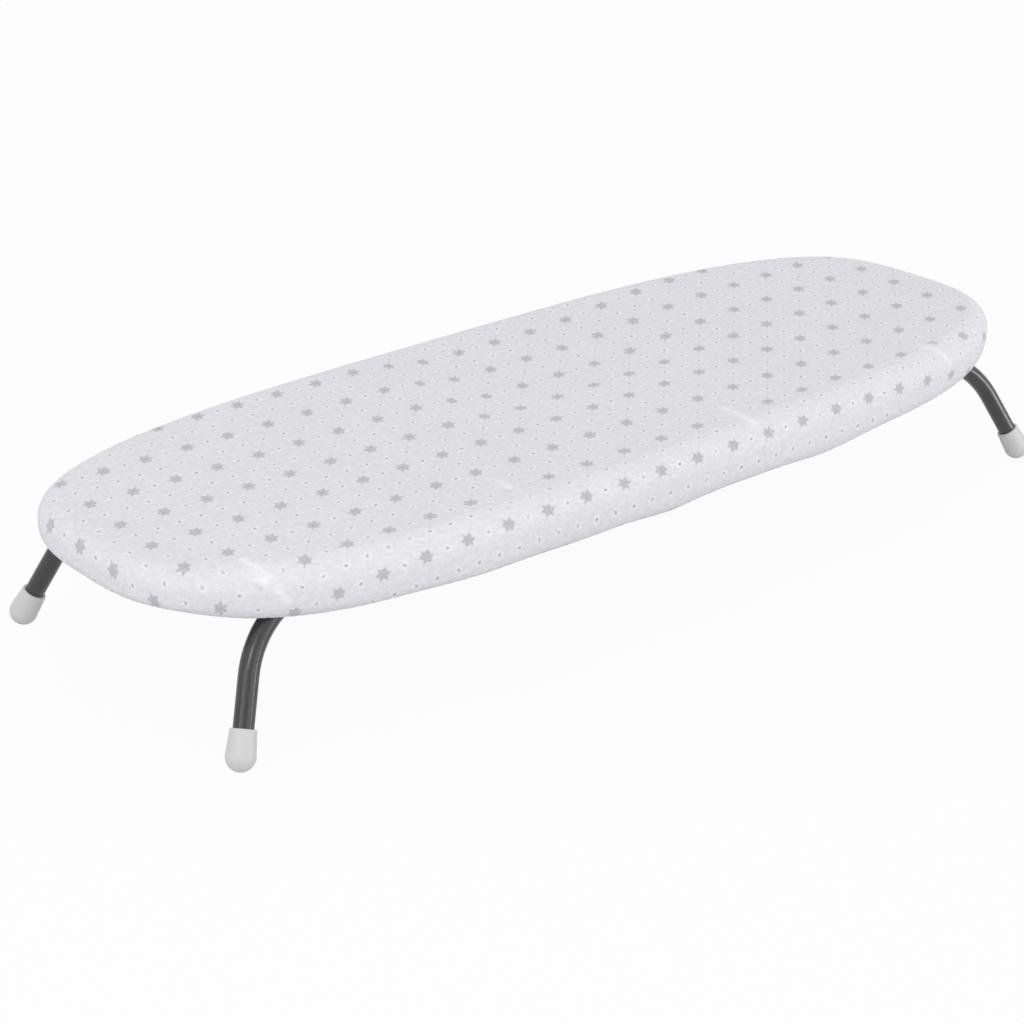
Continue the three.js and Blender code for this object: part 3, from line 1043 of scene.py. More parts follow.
@dataclass(frozen=True)
class Layers:
    """Sizes of the board's layers that more than one piece follows, from the cover inwards."""

    outline: BoardOutline
    top: float
    stations: int = 320
    corner_share: float = 60 * MM
    fit: float = 0.3 * MM
    rim_end: float = 14 * MM
    rim_side_depth: float = 19 * MM
    rim_side_drop: float = 17.5 * MM
    turn_share: float = 0.7
    skirt_side: float = 36.7 * MM
    skirt_end: float = 25.8 * MM
    skirt_blend: float = 5.0
    cover: float = 0.8 * MM
    felt: float = 5 * MM
    felt_wrap: float = 3 * MM
    sheet: float = 0.8 * MM
    sheet_bend: float = 7 * MM

    @property
    def felt_inset(self) -> float:
        """Inset of the felt's outer face from the cover's outline."""
        return self.cover + self.fit

    @property
    def panel_inset(self) -> float:
        """Inset of the panel's flange from the cover's outline."""
        return self.felt_inset + self.felt_wrap + self.fit

    @property
    def panel_top(self) -> float:
        """Height of the panel's deck."""
        return self.top - self.felt_inset - self.felt - self.fit

    @property
    def fold(self) -> float:
        """Thickness of the flange's folded edge."""
        return 2 * self.sheet

    @property
    def hem_depth(self) -> float:
        """How far in the cloth turns under the flange."""
        return self.panel_inset + self.fold

    def ring(self) -> tuple[np.ndarray, np.ndarray]:
        """Points and normals of the outline at the stations of the layers under the cover."""
        return self.outline.stations(self.stations, self.corner_share)

    def side_share(self, normals: np.ndarray) -> np.ndarray:
        """How much of a long side each place is: its normal's sideways part to the blend power."""
        return np.abs(normals[:, 1]) ** self.skirt_blend

    def hem_height(self, normals: np.ndarray) -> np.ndarray:
        """Height of the cover's lowest edge, lower along the sides than at the ends."""
        drop = (self.skirt_side - self.skirt_end) * self.side_share(normals)
        return self.top - self.skirt_end - drop

    def rim(self, normals: np.ndarray) -> tuple[np.ndarray, np.ndarray]:
        """How far in and how far down the rounded rim reaches, more along the sides.

        Args:
            normals: Outward normals of the outline.

        Returns:
            Depths and drops, one a normal.
        """
        share = self.side_share(normals)
        depth = self.rim_end + (self.rim_side_depth - self.rim_end) * share
        return depth, self.rim_end + (self.rim_side_drop - self.rim_end) * share

    def hem_rise(self, normals: np.ndarray) -> np.ndarray:
        """Height over which the cloth turns under: a share of what hangs below the rim."""
        hanging = self.top - self.rim(normals)[1] - self.hem_height(normals)
        return self.turn_share * hanging

    @staticmethod
    def place(points: np.ndarray, normals: np.ndarray, inset: np.ndarray, height: np.ndarray) -> np.ndarray:
        """Carry sections round the outline: move in along the normal, and up to the height.

        Args:
            points: Outline points, one row a station.
            normals: Outward normals, one row a station.
            inset: Insets, rows of section points by columns of stations, or one column.
            height: Heights, likewise.

        Returns:
            Places in space, section points by stations by three.
        """
        shape = np.broadcast_shapes(inset.shape, height.shape, (1, len(points)))
        level = points - normals * np.broadcast_to(inset, shape)[..., None]
        return np.concatenate([level, np.broadcast_to(height, shape)[..., None]], axis=-1)


def grid_normals(points: np.ndarray) -> np.ndarray:
    """Unit normals of a grid whose rows close on themselves.

    The normal is the cross product of the step along the row and the step to the next row.

    Args:
        points: Rows by columns by three.

    Returns:
        Normals of the same shape.
    """
    along = np.roll(points, -1, axis=1) - np.roll(points, 1, axis=1)
    normal = np.cross(along, np.gradient(points, axis=0))
    return normal / np.maximum(np.linalg.norm(normal, axis=-1, keepdims=True), TINY_LENGTH)


@dataclass(frozen=True)
class DragLine:
    """A short crease where the cover is drawn over the rim: where it crosses, and how it runs.

    It starts and ends at distances inside the outline. Along it the cloth is painted white, and
    to both sides of it the print is washed out: a painted highlight where the crease catches the light.
    """

    x: float
    side: Side
    start: float
    end: float
    slant: float = 0.0
    width: float = 3.0 * MM
    height: float = 0.6 * MM
    # How white the painted highlight on the crease is, and how wide the print beside it is washed out
    whiteness: float = 1.0
    rubbed: float = 8 * MM


# Creases over the rim, each with a painted highlight along it
DRAG_LINES = (
    DragLine(-321.3 * MM, Side.FRONT, 21 * MM, 8 * MM, -0.2, width=2.2 * MM),
    DragLine(-320.6 * MM, Side.FRONT, 10 * MM, -5 * MM, width=4.6 * MM, whiteness=0.75),
    DragLine(-316.6 * MM, Side.FRONT, -3 * MM, -17 * MM, -0.2, width=2.6 * MM, whiteness=0.75),
    DragLine(-138.4 * MM, Side.FRONT, 50 * MM, 22 * MM, 0.02, height=0.3 * MM, whiteness=0.75),
    DragLine(55 * MM, Side.FRONT, 48 * MM, 2 * MM, 0.05, whiteness=0.75),
    DragLine(256 * MM, Side.FRONT, 27 * MM, -12 * MM, -0.6, height=0.3 * MM, whiteness=0.5),
    DragLine(-262 * MM, Side.REAR, 12 * MM, -14 * MM, -0.15),
    DragLine(-70 * MM, Side.REAR, 10 * MM, -12 * MM, 0.05, height=0.4 * MM, whiteness=0.6),
    DragLine(148 * MM, Side.REAR, 14 * MM, -14 * MM, 0.1),
    DragLine(300 * MM, Side.REAR, 10 * MM, -16 * MM, 0.3, height=0.4 * MM, whiteness=0.6),
)


@dataclass(frozen=True)
class HemDip:
    """A stretch where the hem hangs lower, or higher where its depth is below zero."""

    x: float
    side: Side
    depth: float
    width: float


HEM_DIPS = (
    HemDip(-145 * MM, Side.FRONT, -1.1 * MM, 36 * MM),
    HemDip(-30 * MM, Side.FRONT, 1.8 * MM, 26 * MM),
    HemDip(116 * MM, Side.FRONT, 1.8 * MM, 30 * MM),
    HemDip(-90 * MM, Side.REAR, 1.4 * MM, 34 * MM),
    HemDip(84 * MM, Side.REAR, -1.0 * MM, 40 * MM),
)


@dataclass(frozen=True)
class HemWave:
    """A slow wave of the hem: its share of the height, its length a radian, and its shift by side."""

    share: float
    length: float
    shift: float


HEM_WAVES = (HemWave(1.0, 23 * MM, 1), HemWave(0.8, 41 * MM, -2), HemWave(0.5, 13 * MM, 0))


@dataclass
class ClothGrid:
    """A grid of cloth: its points, and where they lie on the flat cloth and inside the outline.

    The outward directions are the outline's normals, one a column.
    """

    points: np.ndarray
    flat: np.ndarray
    inside: np.ndarray
    outward: np.ndarray


@dataclass
class Cover:
    """The sewn cotton cover: flat top, plump rim, skirt, and a hem rolled round the elastic."""

    layers: Layers
    finish: PrintedCotton = field(default_factory=PrintedCotton)
    thread: SewingThread = field(default_factory=SewingThread)
    cloth: float = 0.5 * MM
    stations: int = 880
    corner_share: float = 150 * MM
    top_rings: int = 12
    top_spread: float = 1.6
    edge_rings: int = 12
    skirt_rings: int = 5
    hem_rings: int = 8
    tuck_rings: int = 3
    roll_rings: int = 11
    roll_inset: float = 9.5 * MM
    roll_rise: float = 7 * MM
    roll_radius: float = 2.6 * MM
    roll_from: float = 200.0
    roll_to: float = 512.0
    hem_wave: float = 0.35 * MM
    # Strength of the washed-out print beside the creases, part of their painted highlight
    rub_strength: float = 1.5
    fullness: float = 7 * MM
    looseness: float = 0.85
    gather_in: float = 0.5 * MM
    gather_out: float = 1.5 * MM
    gather_pitch: float = 9 * MM
    gather_seed: float = 0.08 * MM
    gather_sway: float = 3.0
    gather_sways: int = 7
    second_gather: float = 0.6
    second_pitch: float = 1.7
    print_growth: float = 0.057
    print_squeeze: float = 0.059
    print_slant: float = 0.0915
    print_bow: float = 0.0186
    print_fan: float = 0.042
    print_lift: float = 5.5 * MM
    print_tilt: float = 2.1 * MM
    print_rim: float = 112 * MM
    print_pull: tuple[float, float] = (0.35, 0.233)
    print_skirt: float = 146 * MM
    print_ease: float = 0.33
    drift: tuple[float, float] = (16.1 * MM, 15.2 * MM)
    drift_rows: tuple[float, float] = (-47 * MM, 16 * MM)
    drift_starts: tuple[float, float] = (-100 * MM, -41 * MM)
    drift_ends: tuple[float, float] = (45 * MM, 193 * MM)
    stitch_pitch: float = 3.2 * MM
    stitch_length: float = 2.4 * MM
    stitch_radius: float = 0.28 * MM
    stitch_rings: int = 5
    stitch_sides: int = 5
    sim_frames: int = 18

    @property
    def rim_rows(self) -> int:
        """Rows of the grid from the rolled edge to the rim of the flat top."""
        return self.edge_rings + self.skirt_rings + self.hem_rings + self.tuck_rings + self.roll_rings

    def section(self, normals: np.ndarray, hem: np.ndarray) -> tuple[np.ndarray, np.ndarray]:
        """Insets and heights of the cloth from the rim of its flat top to its rolled edge.

        A quarter ellipse rounds the rim, a short straight skirt follows, a quarter ellipse turns
        under the flange, a slope tucks in, and the edge winds most of the way round the elastic.

        Args:
            normals: Outward normals, one a station.
            hem: Height of the hem at each station.

        Returns:
            Insets and heights, section points by stations.
        """
        layers = self.layers
        depth, drop = layers.rim(normals)
        rise, under = layers.hem_rise(normals), layers.hem_depth
        edge = arc(0, 90, self.edge_rings)[:, None]
        skirt = np.linspace(0, 1, self.skirt_rings + 2)[1:-1, None]
        turn = arc(90, 180, self.hem_rings)[:, None]
        tuck = np.linspace(0, 1, self.tuck_rings + 2)[1:-1, None]
        roll = arc(self.roll_from, self.roll_to, self.roll_rings)[:, None]
        roll_inset = self.roll_inset - self.roll_radius * np.sin(roll)
        roll_rise = self.roll_rise + self.roll_radius * np.cos(roll)
        rim_foot = layers.top - drop
        parts = (
            (depth * (1 - np.sin(edge)), layers.top - drop * (1 - np.cos(edge))),
            (0 * skirt, rim_foot + (hem + rise - rim_foot) * skirt),
            (under * (1 - np.sin(turn)), hem + rise * (1 + np.cos(turn))),
            (under + (roll_inset[0] - under) * tuck, hem + roll_rise[0] * tuck),
            (roll_inset, hem + roll_rise),
        )
        height = np.concatenate([high for _, high in parts])
        inset = np.concatenate([np.broadcast_to(inward, high.shape) for inward, high in parts])
        return inset, height

    def hem_line(self, points: np.ndarray, normals: np.ndarray) -> np.ndarray:
        """Height of the hem, with the slow waves that drawn elastic leaves.

        Sine waves along the length, of unequal pitch, are added to the plain hem on the long
        sides, and each dip is a bell curve along its side.

        Args:
            points: Outline points.
            normals: Outward normals.

        Returns:
            Heights, one a station.
        """
        along, side = points[:, 0], np.sign(points[:, 1])
        sideways = np.abs(normals[:, 1]) ** 2
        height = self.layers.hem_height(normals)
        for wave in HEM_WAVES:
            swing = np.sin(along / wave.length + wave.shift * side)
            height = height + self.hem_wave * wave.share * swing * sideways
        for dip in HEM_DIPS:
            bell = np.exp(-(((along - dip.x) / dip.width) ** 2))
            height = height - dip.depth * bell * sideways * (side == dip.side.value)
        return height

    def drawn_on(self) -> ClothGrid:
        """The cover as it is drawn over the felt, before it settles.

        Rows run from the rolled edge up the skirt and over the rim to the middle line of the top.
        On the top, each row lies a share of the way from the middle line to the rim.

        Returns:
            The grid of the cloth.
        """
        layers = self.layers
        points, normals = layers.outline.stations(self.stations, self.corner_share)
        inset, height = self.section(normals, self.hem_line(points, normals))
        rim = layers.place(points, normals, inset, height)
        run = np.linalg.norm(np.diff(rim, axis=0), axis=-1)
        travelled = np.concatenate([np.zeros((1, self.stations)), np.cumsum(run, axis=0)])
        rim_inside = layers.rim(normals)[0] - travelled
        rim_flat = points - normals * rim_inside[..., None]
        shares = 1 - np.linspace(0, 1, self.top_rings + 1)[1:] ** self.top_spread
        deck = layers.outline.close_in(points, rim[0], shares)
        deck_inside = np.linalg.norm(points - deck[..., :2], axis=-1)
        return ClothGrid(
            points=np.concatenate([rim[::-1], deck]),
            flat=np.concatenate([rim_flat[::-1], deck[..., :2]]),
            inside=np.concatenate([rim_inside[::-1], deck_inside]),
            outward=normals,
        )

    def creases(self, grid: ClothGrid) -> tuple[np.ndarray, np.ndarray, np.ndarray]:
        """How deep each point lies in a drag line's painted highlight, how far its print is washed out,
        and how far the line lifts it.

        Across a line the depth falls off as a bell curve; along it the depth is full in the middle
        half and fades to its start and end. The washed-out print is a wider bell, cut off at 1.

        Args:
            grid: The cloth as it is drawn on.

        Returns:
            Depth of the painted highlight and share of washed-out print from 0 to 1, and lift in metres.
        """
        depth, rubbed, lift = np.zeros((3, *grid.inside.shape))
        for line in DRAG_LINES:
            middle = (line.start + line.end) / 2
            half = abs(line.start - line.end) / 2
            across = grid.flat[..., 0] - line.x - line.slant * (grid.inside - middle)
            fade = np.clip(2 - 2 * np.abs(grid.inside - middle) / half, 0, 1)
            fade = fade * (np.sign(grid.flat[..., 1]) == line.side.value)
            bell = np.exp(-((across / line.width) ** 2)) * fade
            wide = np.clip(self.rub_strength * np.exp(-((across / line.rubbed) ** 2)), 0, 1)
            depth = np.maximum(depth, line.whiteness * bell)
            rubbed = np.maximum(rubbed, wide * fade)
            lift = lift + bell * line.height
        return depth, rubbed, lift

    def slack(self, rows: int) -> np.ndarray:
        """Share of freedom of each row: none on the top and in the roll, full down the skirt.

        Args:
            rows: Rows counted from the rolled edge.

        Returns:
            Shares from 0 to 1, one a row.
        """
        row = np.arange(rows)
        rising = np.clip(row / (self.roll_rings + self.tuck_rings), 0, 1)
        falling = np.clip((self.rim_rows - 1 - row) / (self.edge_rings - 1), 0, 1)
        return rising * falling

    def settle(self, grid: ClothGrid, normals: np.ndarray) -> np.ndarray:
        """Let the cloth settle by simulation: it is cut fuller than it is held, so it gathers.

        The threads take their lengths from a copy whose skirt stands out by the fullness, which
        adds length only where the outline curves. The hem's elastic holds the edge meanwhile. The
        gathers start from a faint sine wave round the skirt that sways in pitch, and a second one.

        Args:
            grid: The cloth as it is drawn on.
            normals: Its outward normals.

        Returns:
            How far each point moves along its normal, in metres.
        """
        rows = self.rim_rows + 2
        slack = self.slack(rows)
        travel = full_turn(self.stations)
        count = round(2 * math.pi * self.layers.outline.half_length / self.gather_pitch)
        seed = np.sin(count * travel + self.gather_sway * np.sin(self.gather_sways * travel))
        seed = seed + self.second_gather * np.sin(self.second_pitch * count * travel)
        drawn = grid.points[:rows] + normals[:rows] * (self.gather_seed * seed * slack[:, None])[..., None]
        flare = np.clip((self.rim_rows - 1 - np.arange(rows)) / (self.rim_rows - 1), 0, 1)
        outward = np.concatenate([grid.outward, np.zeros((self.stations, 1))], axis=-1)
        cut = drawn + self.fullness * flare[:, None, None] * outward
        mesh = bpy.data.meshes.new("settling_cloth")
        mesh.from_pydata(drawn.reshape(-1, 3).tolist(), [], grid_quads(rows, self.stations).tolist())
        cloth = bpy.data.objects.new("settling_cloth", mesh)
        bpy.context.scene.collection.objects.link(cloth)
        cloth.shape_key_add(name="drawn")
        fuller = cloth.shape_key_add(name="cut")
        fuller.data.foreach_set("co", cut.ravel())
        fuller.value = 0
        hold = cloth.vertex_groups.new(name="hold")
        for row, free in enumerate(slack.tolist()):
            members = range(row * self.stations, (row + 1) * self.stations)
            hold.add(list(members), 1 - self.looseness * free, "REPLACE")
        settled = self.simulate(cloth, fuller, hold.name)
        bpy.data.objects.remove(cloth)
        bpy.data.meshes.remove(mesh)
        moved = settled.reshape(drawn.shape) - grid.points[:rows]
        along_normal = np.einsum("ijk,ijk->ij", moved, normals[:rows])
        log.info("cover settled by %.2f to %.2f mm", along_normal.min() / MM, along_normal.max() / MM)
        settled_by = np.zeros(grid.inside.shape)
        settled_by[:rows] = np.clip(along_normal, -self.gather_in, self.gather_out)
        return settled_by

    def simulate(self, cloth: Piece, fuller: bpy.types.ShapeKey, hold: str) -> np.ndarray:
        """Run the cloth simulation: light cotton, held by its group, with no gravity.

        Args:
            cloth: The sheet that settles.
            fuller: Shape key whose edges give the threads their lengths.
            hold: Name of the group that says how firmly each point is held.

        Returns:
            Coordinates of the settled points, one after the other.
        """
        modifier = cloth.modifiers.new("cloth", "CLOTH")
        settings = modifier.settings
        for name, value in COTTON.items():
            setattr(settings, name, value)
        settings.vertex_group_mass = hold
        settings.rest_shape_key = fuller
        settings.effector_weights.gravity = 0
        modifier.collision_settings.use_collision = False
        modifier.point_cache.frame_start = 1
        modifier.point_cache.frame_end = self.sim_frames
        scene = bpy.context.scene
        for step in range(1, self.sim_frames + 1):
            scene.frame_set(step)
        settled = cloth.evaluated_get(bpy.context.evaluated_depsgraph_get())
        points = np.empty(len(cloth.data.vertices) * 3)
        settled.data.vertices.foreach_get("co", points)
        scene.frame_set(1)
        return points

    def print_place(self, flat: np.ndarray) -> np.ndarray:
        """Where the print lies on the cloth, which is drawn tighter to one end and to the rear.

        A place along is shrunk by the growth times its share of half the length, and a place across
        by the squeeze times its share of half the width. The columns lean by the slant; the bow
        and the fan add to it by the shares across and along. The rows rise to both ends by the
        lift times the square of the share along, less to one end by the tilt. Past the front rim
        the pull draws the print in, in step with the distance past it, and the ease lets it out
        again down the skirt.

        Args:
            flat: Places on the flat cloth.

        Returns:
            Places in the print.
        """
        outline = self.layers.outline
        end_share = flat[..., 0] / outline.half_length
        across = flat[..., 1] - end_share * (self.print_lift * end_share - self.print_tilt)
        share = across / outline.half_width
        past_rim = np.clip(-self.print_rim - across, 0, None)
        past_skirt = np.clip(-self.print_skirt - across, 0, None)
        lean = self.print_slant + self.print_bow * share + self.print_fan * end_share
        along = flat[..., 0] - across * lean - self.print_pull[0] * past_rim
        grown = along * (1 - self.print_growth * along / outline.half_length)
        rows = across * (1 - self.print_squeeze * share)
        rows = rows - self.print_pull[1] * past_rim + self.print_ease * past_skirt
        place = np.stack([grown, rows], axis=-1)
        return place + self.drifted(place)[..., None] * self.drift

    def drifted(self, place: np.ndarray) -> np.ndarray:
        """Share of the drift of the printing screen, which crept over the middle of the rear half.

        Each edge of the crept stretch is a smooth step: three times the square of the share of the
        way across it, less twice the cube.

        Args:
            place: Places in the print.

        Returns:
            Shares from 0 to 1.
        """
        along, rows = place[..., 0], place[..., 1]
        share = np.ones(place.shape[:-1])
        edges = ((rows, self.drift_rows), (along, self.drift_starts), (along, self.drift_ends[::-1]))
        for reach, (start, end) in edges:
            way = np.clip((reach - start) / (end - start), 0, 1)
            share = share * way**2 * (3 - 2 * way)
        return share

    def stitching(self, ring: np.ndarray, outward: np.ndarray) -> Piece:
        """The row of stitches that closes the elastic's casing.

        A stitch is a bead of thread along the row: its radius and its height follow the half
        circle from end to end. Stitches follow each other at the pitch round the ring.

        Args:
            ring: Points of the stitched row on the cloth.
            outward: Normals of the cloth there.

        Returns:
            The stitches, as one piece.
        """
        step = np.linalg.norm(np.roll(ring, -1, axis=0) - ring, axis=1)
        travelled = np.concatenate([[0], np.cumsum(step)])
        count = int(travelled[-1] / self.stitch_pitch)
        middle = (np.arange(count) + 0.5) * travelled[-1] / count
        share = np.linspace(-1, 1, self.stitch_rings)
        places = (middle[:, None] + share * self.stitch_length / 2) % travelled[-1]
        looped = np.concatenate([ring, ring[:1]]), np.concatenate([outward, outward[:1]])
        path, up = (
            np.stack([np.interp(places, travelled, part) for part in line.T], axis=-1)[:, :, None]
            for line in looped
        )
        beside = np.cross(np.gradient(path, axis=1), up)
        beside /= np.linalg.norm(beside, axis=-1, keepdims=True)
        bulge = self.stitch_radius * np.sqrt(1 - share**2)[:, None, None]
        turn = full_turn(self.stitch_sides)[:, None]
        points = path + bulge * (np.cos(turn) * up + np.sin(turn) * beside)
        bead = grid_quads(self.stitch_rings, self.stitch_sides)
        faces = bead + np.arange(count)[:, None, None] * self.stitch_rings * self.stitch_sides
        return make_piece("hem_stitches", points, faces.reshape(-1, 4))

    def build(self) -> None:
        """Sew the cover, let it settle, dress it and hand it over with its stitching."""
        grid = self.drawn_on()
        normals = grid_normals(grid.points)
        normals[self.rim_rows :] = (0, 0, 1)
        depth, rubbed, lift = self.creases(grid)
        lift = lift + self.settle(grid, normals)
        points = grid.points + normals * lift[..., None]
        cover = make_piece("cover_sewn", points, sharp=180, closed=False)
        # The crease attributes carry the painted highlight and the washed-out print beside it
        self.map_cloth(cover, grid, {CREASE_HIGHLIGHT: depth, HIGHLIGHT_WASH: rubbed})
        thicken(cover, "cloth_thickness", self.cloth)
        stitched = self.roll_rings + self.tuck_rings // 2
        stitches = self.stitching(points[stitched], normals[stitched])
        hand_over(stitches, Body.BOARD, self.thread)
        hand_over(cover, Body.BOARD, self.finish, "cover")
        cut = grid.flat[0]
        size = np.ptp(cut, axis=0)
        after = np.roll(cut, -1, axis=0)

    def map_cloth(self, cover: Piece, grid: ClothGrid, wear_and_glint: Mapping[str, np.ndarray]) -> None:
        """Store the flat cloth's places as a UV map, and the creases' painted highlight as attributes.

        Merging the middle line leaves every row above it in its place, so only the last row's
        places are taken from the mesh.

        Args:
            cover: The cover's object.
            grid: The cloth as it is drawn on.
            wear_and_glint: Shares of the painted highlight from 0 to 1 on the grid, by the attribute's
                name.
        """
        mesh = cover.data
        kept = (len(grid.points) - 1) * self.stations
        places = np.empty(len(mesh.vertices) * 3)
        mesh.vertices.foreach_get("co", places)
        flat = places.reshape(-1, 3)[:, :2].copy()
        flat[:kept] = grid.flat[:-1].reshape(-1, 2)
        corner = np.empty(len(mesh.loops), dtype=np.int32)
        mesh.loops.foreach_get("vertex_index", corner)
        printed = mesh.uv_layers.new(name=CLOTH_UV)
        printed.data.foreach_set("uv", self.print_place(flat)[corner].ravel())
        # Each attribute is a share of the painted highlight on the creases
        for name, shares in wear_and_glint.items():
            worn = np.zeros(len(mesh.vertices))
            worn[:kept] = shares[:-1].ravel()
            mesh.attributes.new(name, "FLOAT", "POINT").data.foreach_set("value", worn)


@dataclass
class Underlay:
    """The felt underlay: a pad on the panel's deck that wraps down over its flange."""

    layers: Layers
    finish: NeedledFelt = field(default_factory=NeedledFelt)
    arc_rings: int = 8
    deck_rings: int = 6
    hem_share: float = 0.7
    fill: float = 0.9

    def build(self) -> None:
        """Lay the felt: its section is carried round the outline, and its two decks close inwards.

        The section is a quarter ellipse inside the cover's rim, a wrap down over the flange, and a
        quarter circle back up round the panel's bend.
        """
        layers = self.layers
        points, normals = layers.ring()
        lowest = layers.hem_height(normals) + self.hem_share * layers.hem_rise(normals)
        depth, drop = layers.rim(normals)
        outer = arc(0, 90, self.arc_rings)[:, None]
        inner = outer[::-1]
        outer_inset = depth - (depth - layers.felt_inset) * np.sin(outer)
        outer_height = layers.top - drop + (drop - layers.felt_inset) * np.cos(outer)
        bend = layers.sheet_bend + layers.fit
        inner_inset = layers.panel_inset + layers.sheet_bend - bend * np.sin(inner)
        inner_height = layers.panel_top - layers.sheet_bend + bend * np.cos(inner)
        wrap = layers.felt_inset + np.array([[0], [layers.felt_wrap]])
        level = np.zeros(len(points))
        insets = np.concatenate([outer_inset, wrap + level, inner_inset + level])
        heights = np.concatenate([outer_height, lowest + 0 * wrap, inner_height + level])
        skin = layers.place(points, normals, insets, heights)
        shares = np.linspace(1, 0, self.deck_rings + 1)[1:]
        upper, lower = (layers.outline.close_in(points, rim, shares) for rim in (skin[0], skin[-1]))
        felt = make_piece("underlay_felt", np.concatenate([upper[::-1], skin, lower]))
        hand_over(felt, Body.BOARD, self.finish, "underlay_pad")


@dataclass
class HemElastic:
    """The elastic loop that runs in the cover's rolled hem and draws it tight."""

    layers: Layers
    cover: Cover
    finish: BraidedElastic = field(default_factory=BraidedElastic)
    diameter: float = 2 * MM
    sides: int = 10

    def build(self) -> None:
        """Run the cord: a circle is carried round the outline at the middle of the roll."""
        points, normals = self.layers.ring()
        hem = self.cover.hem_line(points, normals)
        turn = arc(0, 360, self.sides + 1)[:, None]
        inset = self.cover.roll_inset - self.diameter / 2 * np.sin(turn)
        height = hem + self.cover.roll_rise + self.diameter / 2 * np.cos(turn)
        cord = make_piece("elastic_loop", self.layers.place(points, normals, inset, height))
        hand_over(cord, Body.BOARD, self.finish, "hem_elastic")


@dataclass
class TopPanel:
    """The pressed steel panel: a flat deck with steam vents, a bent rim and a folded flange edge."""

    layers: Layers
    finish: CoatedSheet = field(default_factory=CoatedSheet)
    bend_rings: int = 8
    edge_fold: float = 5 * MM
    vent: float = 9 * MM
    vent_pitch: float = 42 * MM
    vent_margin: float = 34 * MM
    vent_sides: int = 28
    sheet_play: float = 0.06 * MM

    def vents(self) -> np.ndarray:
        """Centres of the vents: a square grid, kept off the rim and off the rails' seats.

        Returns:
            Centres, one row each.
        """
        outline = self.layers.outline
        reach = np.array([outline.half_length, outline.half_width]) - self.vent_margin
        count = (reach // self.vent_pitch).astype(int)
        columns, rows = (np.arange(-n, n + 1) * self.vent_pitch for n in count)
        centres = np.stack(np.meshgrid(columns, rows, indexing="ij"), axis=-1).reshape(-1, 2)
        share = np.abs(centres / reach) ** (outline.length_power, outline.width_power)
        low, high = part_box("cross_rail_right")
        beside = np.abs(centres[:, 0])
        off_rail = (beside < low.x - self.vent / 2) | (beside > high.x + self.vent / 2)
        return centres[(share.sum(axis=1) < 1) & off_rail]

    def deck(self, ring: np.ndarray) -> tuple[np.ndarray, np.ndarray]:
        """Triangles of the flat deck inside its rim, with the vents left open.

        The rim and the vents' circles are joined by a constrained triangulation, and triangles
        whose middle lies in a vent are left out.

        Args:
            ring: Points of the deck's rim.

        Returns:
            Points and triangles.
        """
        centres = self.vents()
        holes = centres[:, None] + self.vent / 2 * unit_circle(full_turn(self.vent_sides))
        flat = np.concatenate([ring, holes.reshape(-1, 2)])
        numbers = np.arange(len(flat))
        loops = (numbers[: len(ring)][None], numbers[len(ring) :].reshape(-1, self.vent_sides))
        edges = [np.stack([loop, np.roll(loop, -1, axis=1)], axis=-1).reshape(-1, 2) for loop in loops]
        corners = [Vector(point) for point in flat.tolist()]
        made = delaunay_2d_cdt(corners, np.concatenate(edges).tolist(), [], KEEP_INSIDE, MERGE_TOLERANCE)
        places = np.array([tuple(point) for point in made[0]])
        triangles = np.array(made[2])
        middle = places[triangles].mean(axis=1)
        nearest = np.linalg.norm(middle[:, None] - centres, axis=-1).min(axis=1)
        height = np.full((len(places), 1), self.layers.panel_top)
        return np.concatenate([places, height], axis=1), triangles[nearest > self.vent / 2]

    def build(self) -> None:
        """Press the panel: the rim's section is carried round the outline and joined to the deck.

        The section is a quarter circle down from the deck, the flange, half a circle under its
        edge, and the edge folded back up. It stays clear of the cloth that turns under it.
        """
        layers = self.layers
        points, normals = layers.ring()
        lift = layers.cover + layers.fold * math.tan(math.pi / 8) + 2 * layers.fit
        lowest = layers.hem_height(normals)[None] + lift
        bend = arc(0, 90, self.bend_rings)[:, None]
        bend_inset = layers.panel_inset + layers.sheet_bend * (1 - np.sin(bend))
        bend_height = layers.panel_top - layers.sheet_bend * (1 - np.cos(bend)) + 0 * lowest
        half = layers.fold / 2
        under = arc(90, 270, self.bend_rings)[:, None]
        fold_inset = layers.panel_inset + half - half * np.sin(under)
        fold_height = lowest + half + half * np.cos(under)
        back_inset = np.array([[layers.hem_depth]])
        inset = np.concatenate([bend_inset, fold_inset, back_inset])
        height = np.concatenate([bend_height, fold_height, lowest + self.edge_fold])
        rim = layers.place(points, normals, inset, height)
        deck, triangles = self.deck(rim[0, :, :2])
        faces = [*grid_quads(*rim.shape[:2]).tolist(), *(triangles + rim.size // 3).tolist()]
        sheet = np.concatenate([rim.reshape(-1, 3), deck])
        panel = make_piece("panel_pressed", sheet, faces, closed=False)
        self.face_up(panel)
        thicken(panel, "sheet_thickness", layers.sheet - self.sheet_play)
        hand_over(panel, Body.BOARD, self.finish, "top_panel")

    @staticmethod
    def face_up(panel: Piece) -> None:
        """Turn the sheet's faces one way, with the deck facing up, so that its wall lies below.

        The punched and cut edges stay sharp, so that the flat deck shades flat beside them.

        Args:
            panel: The pressed panel, still a bare sheet.
        """
        shape = bmesh.new()
        shape.from_mesh(panel.data)
        bmesh.ops.recalc_face_normals(shape, faces=shape.faces)
        deck = max(shape.faces, key=lambda face: face.calc_center_median().z)
        if deck.normal.z < 0:
            bmesh.ops.reverse_faces(shape, faces=shape.faces)
        for edge in shape.edges:
            edge.smooth = not edge.is_boundary
        shape.to_mesh(panel.data)
        shape.free()


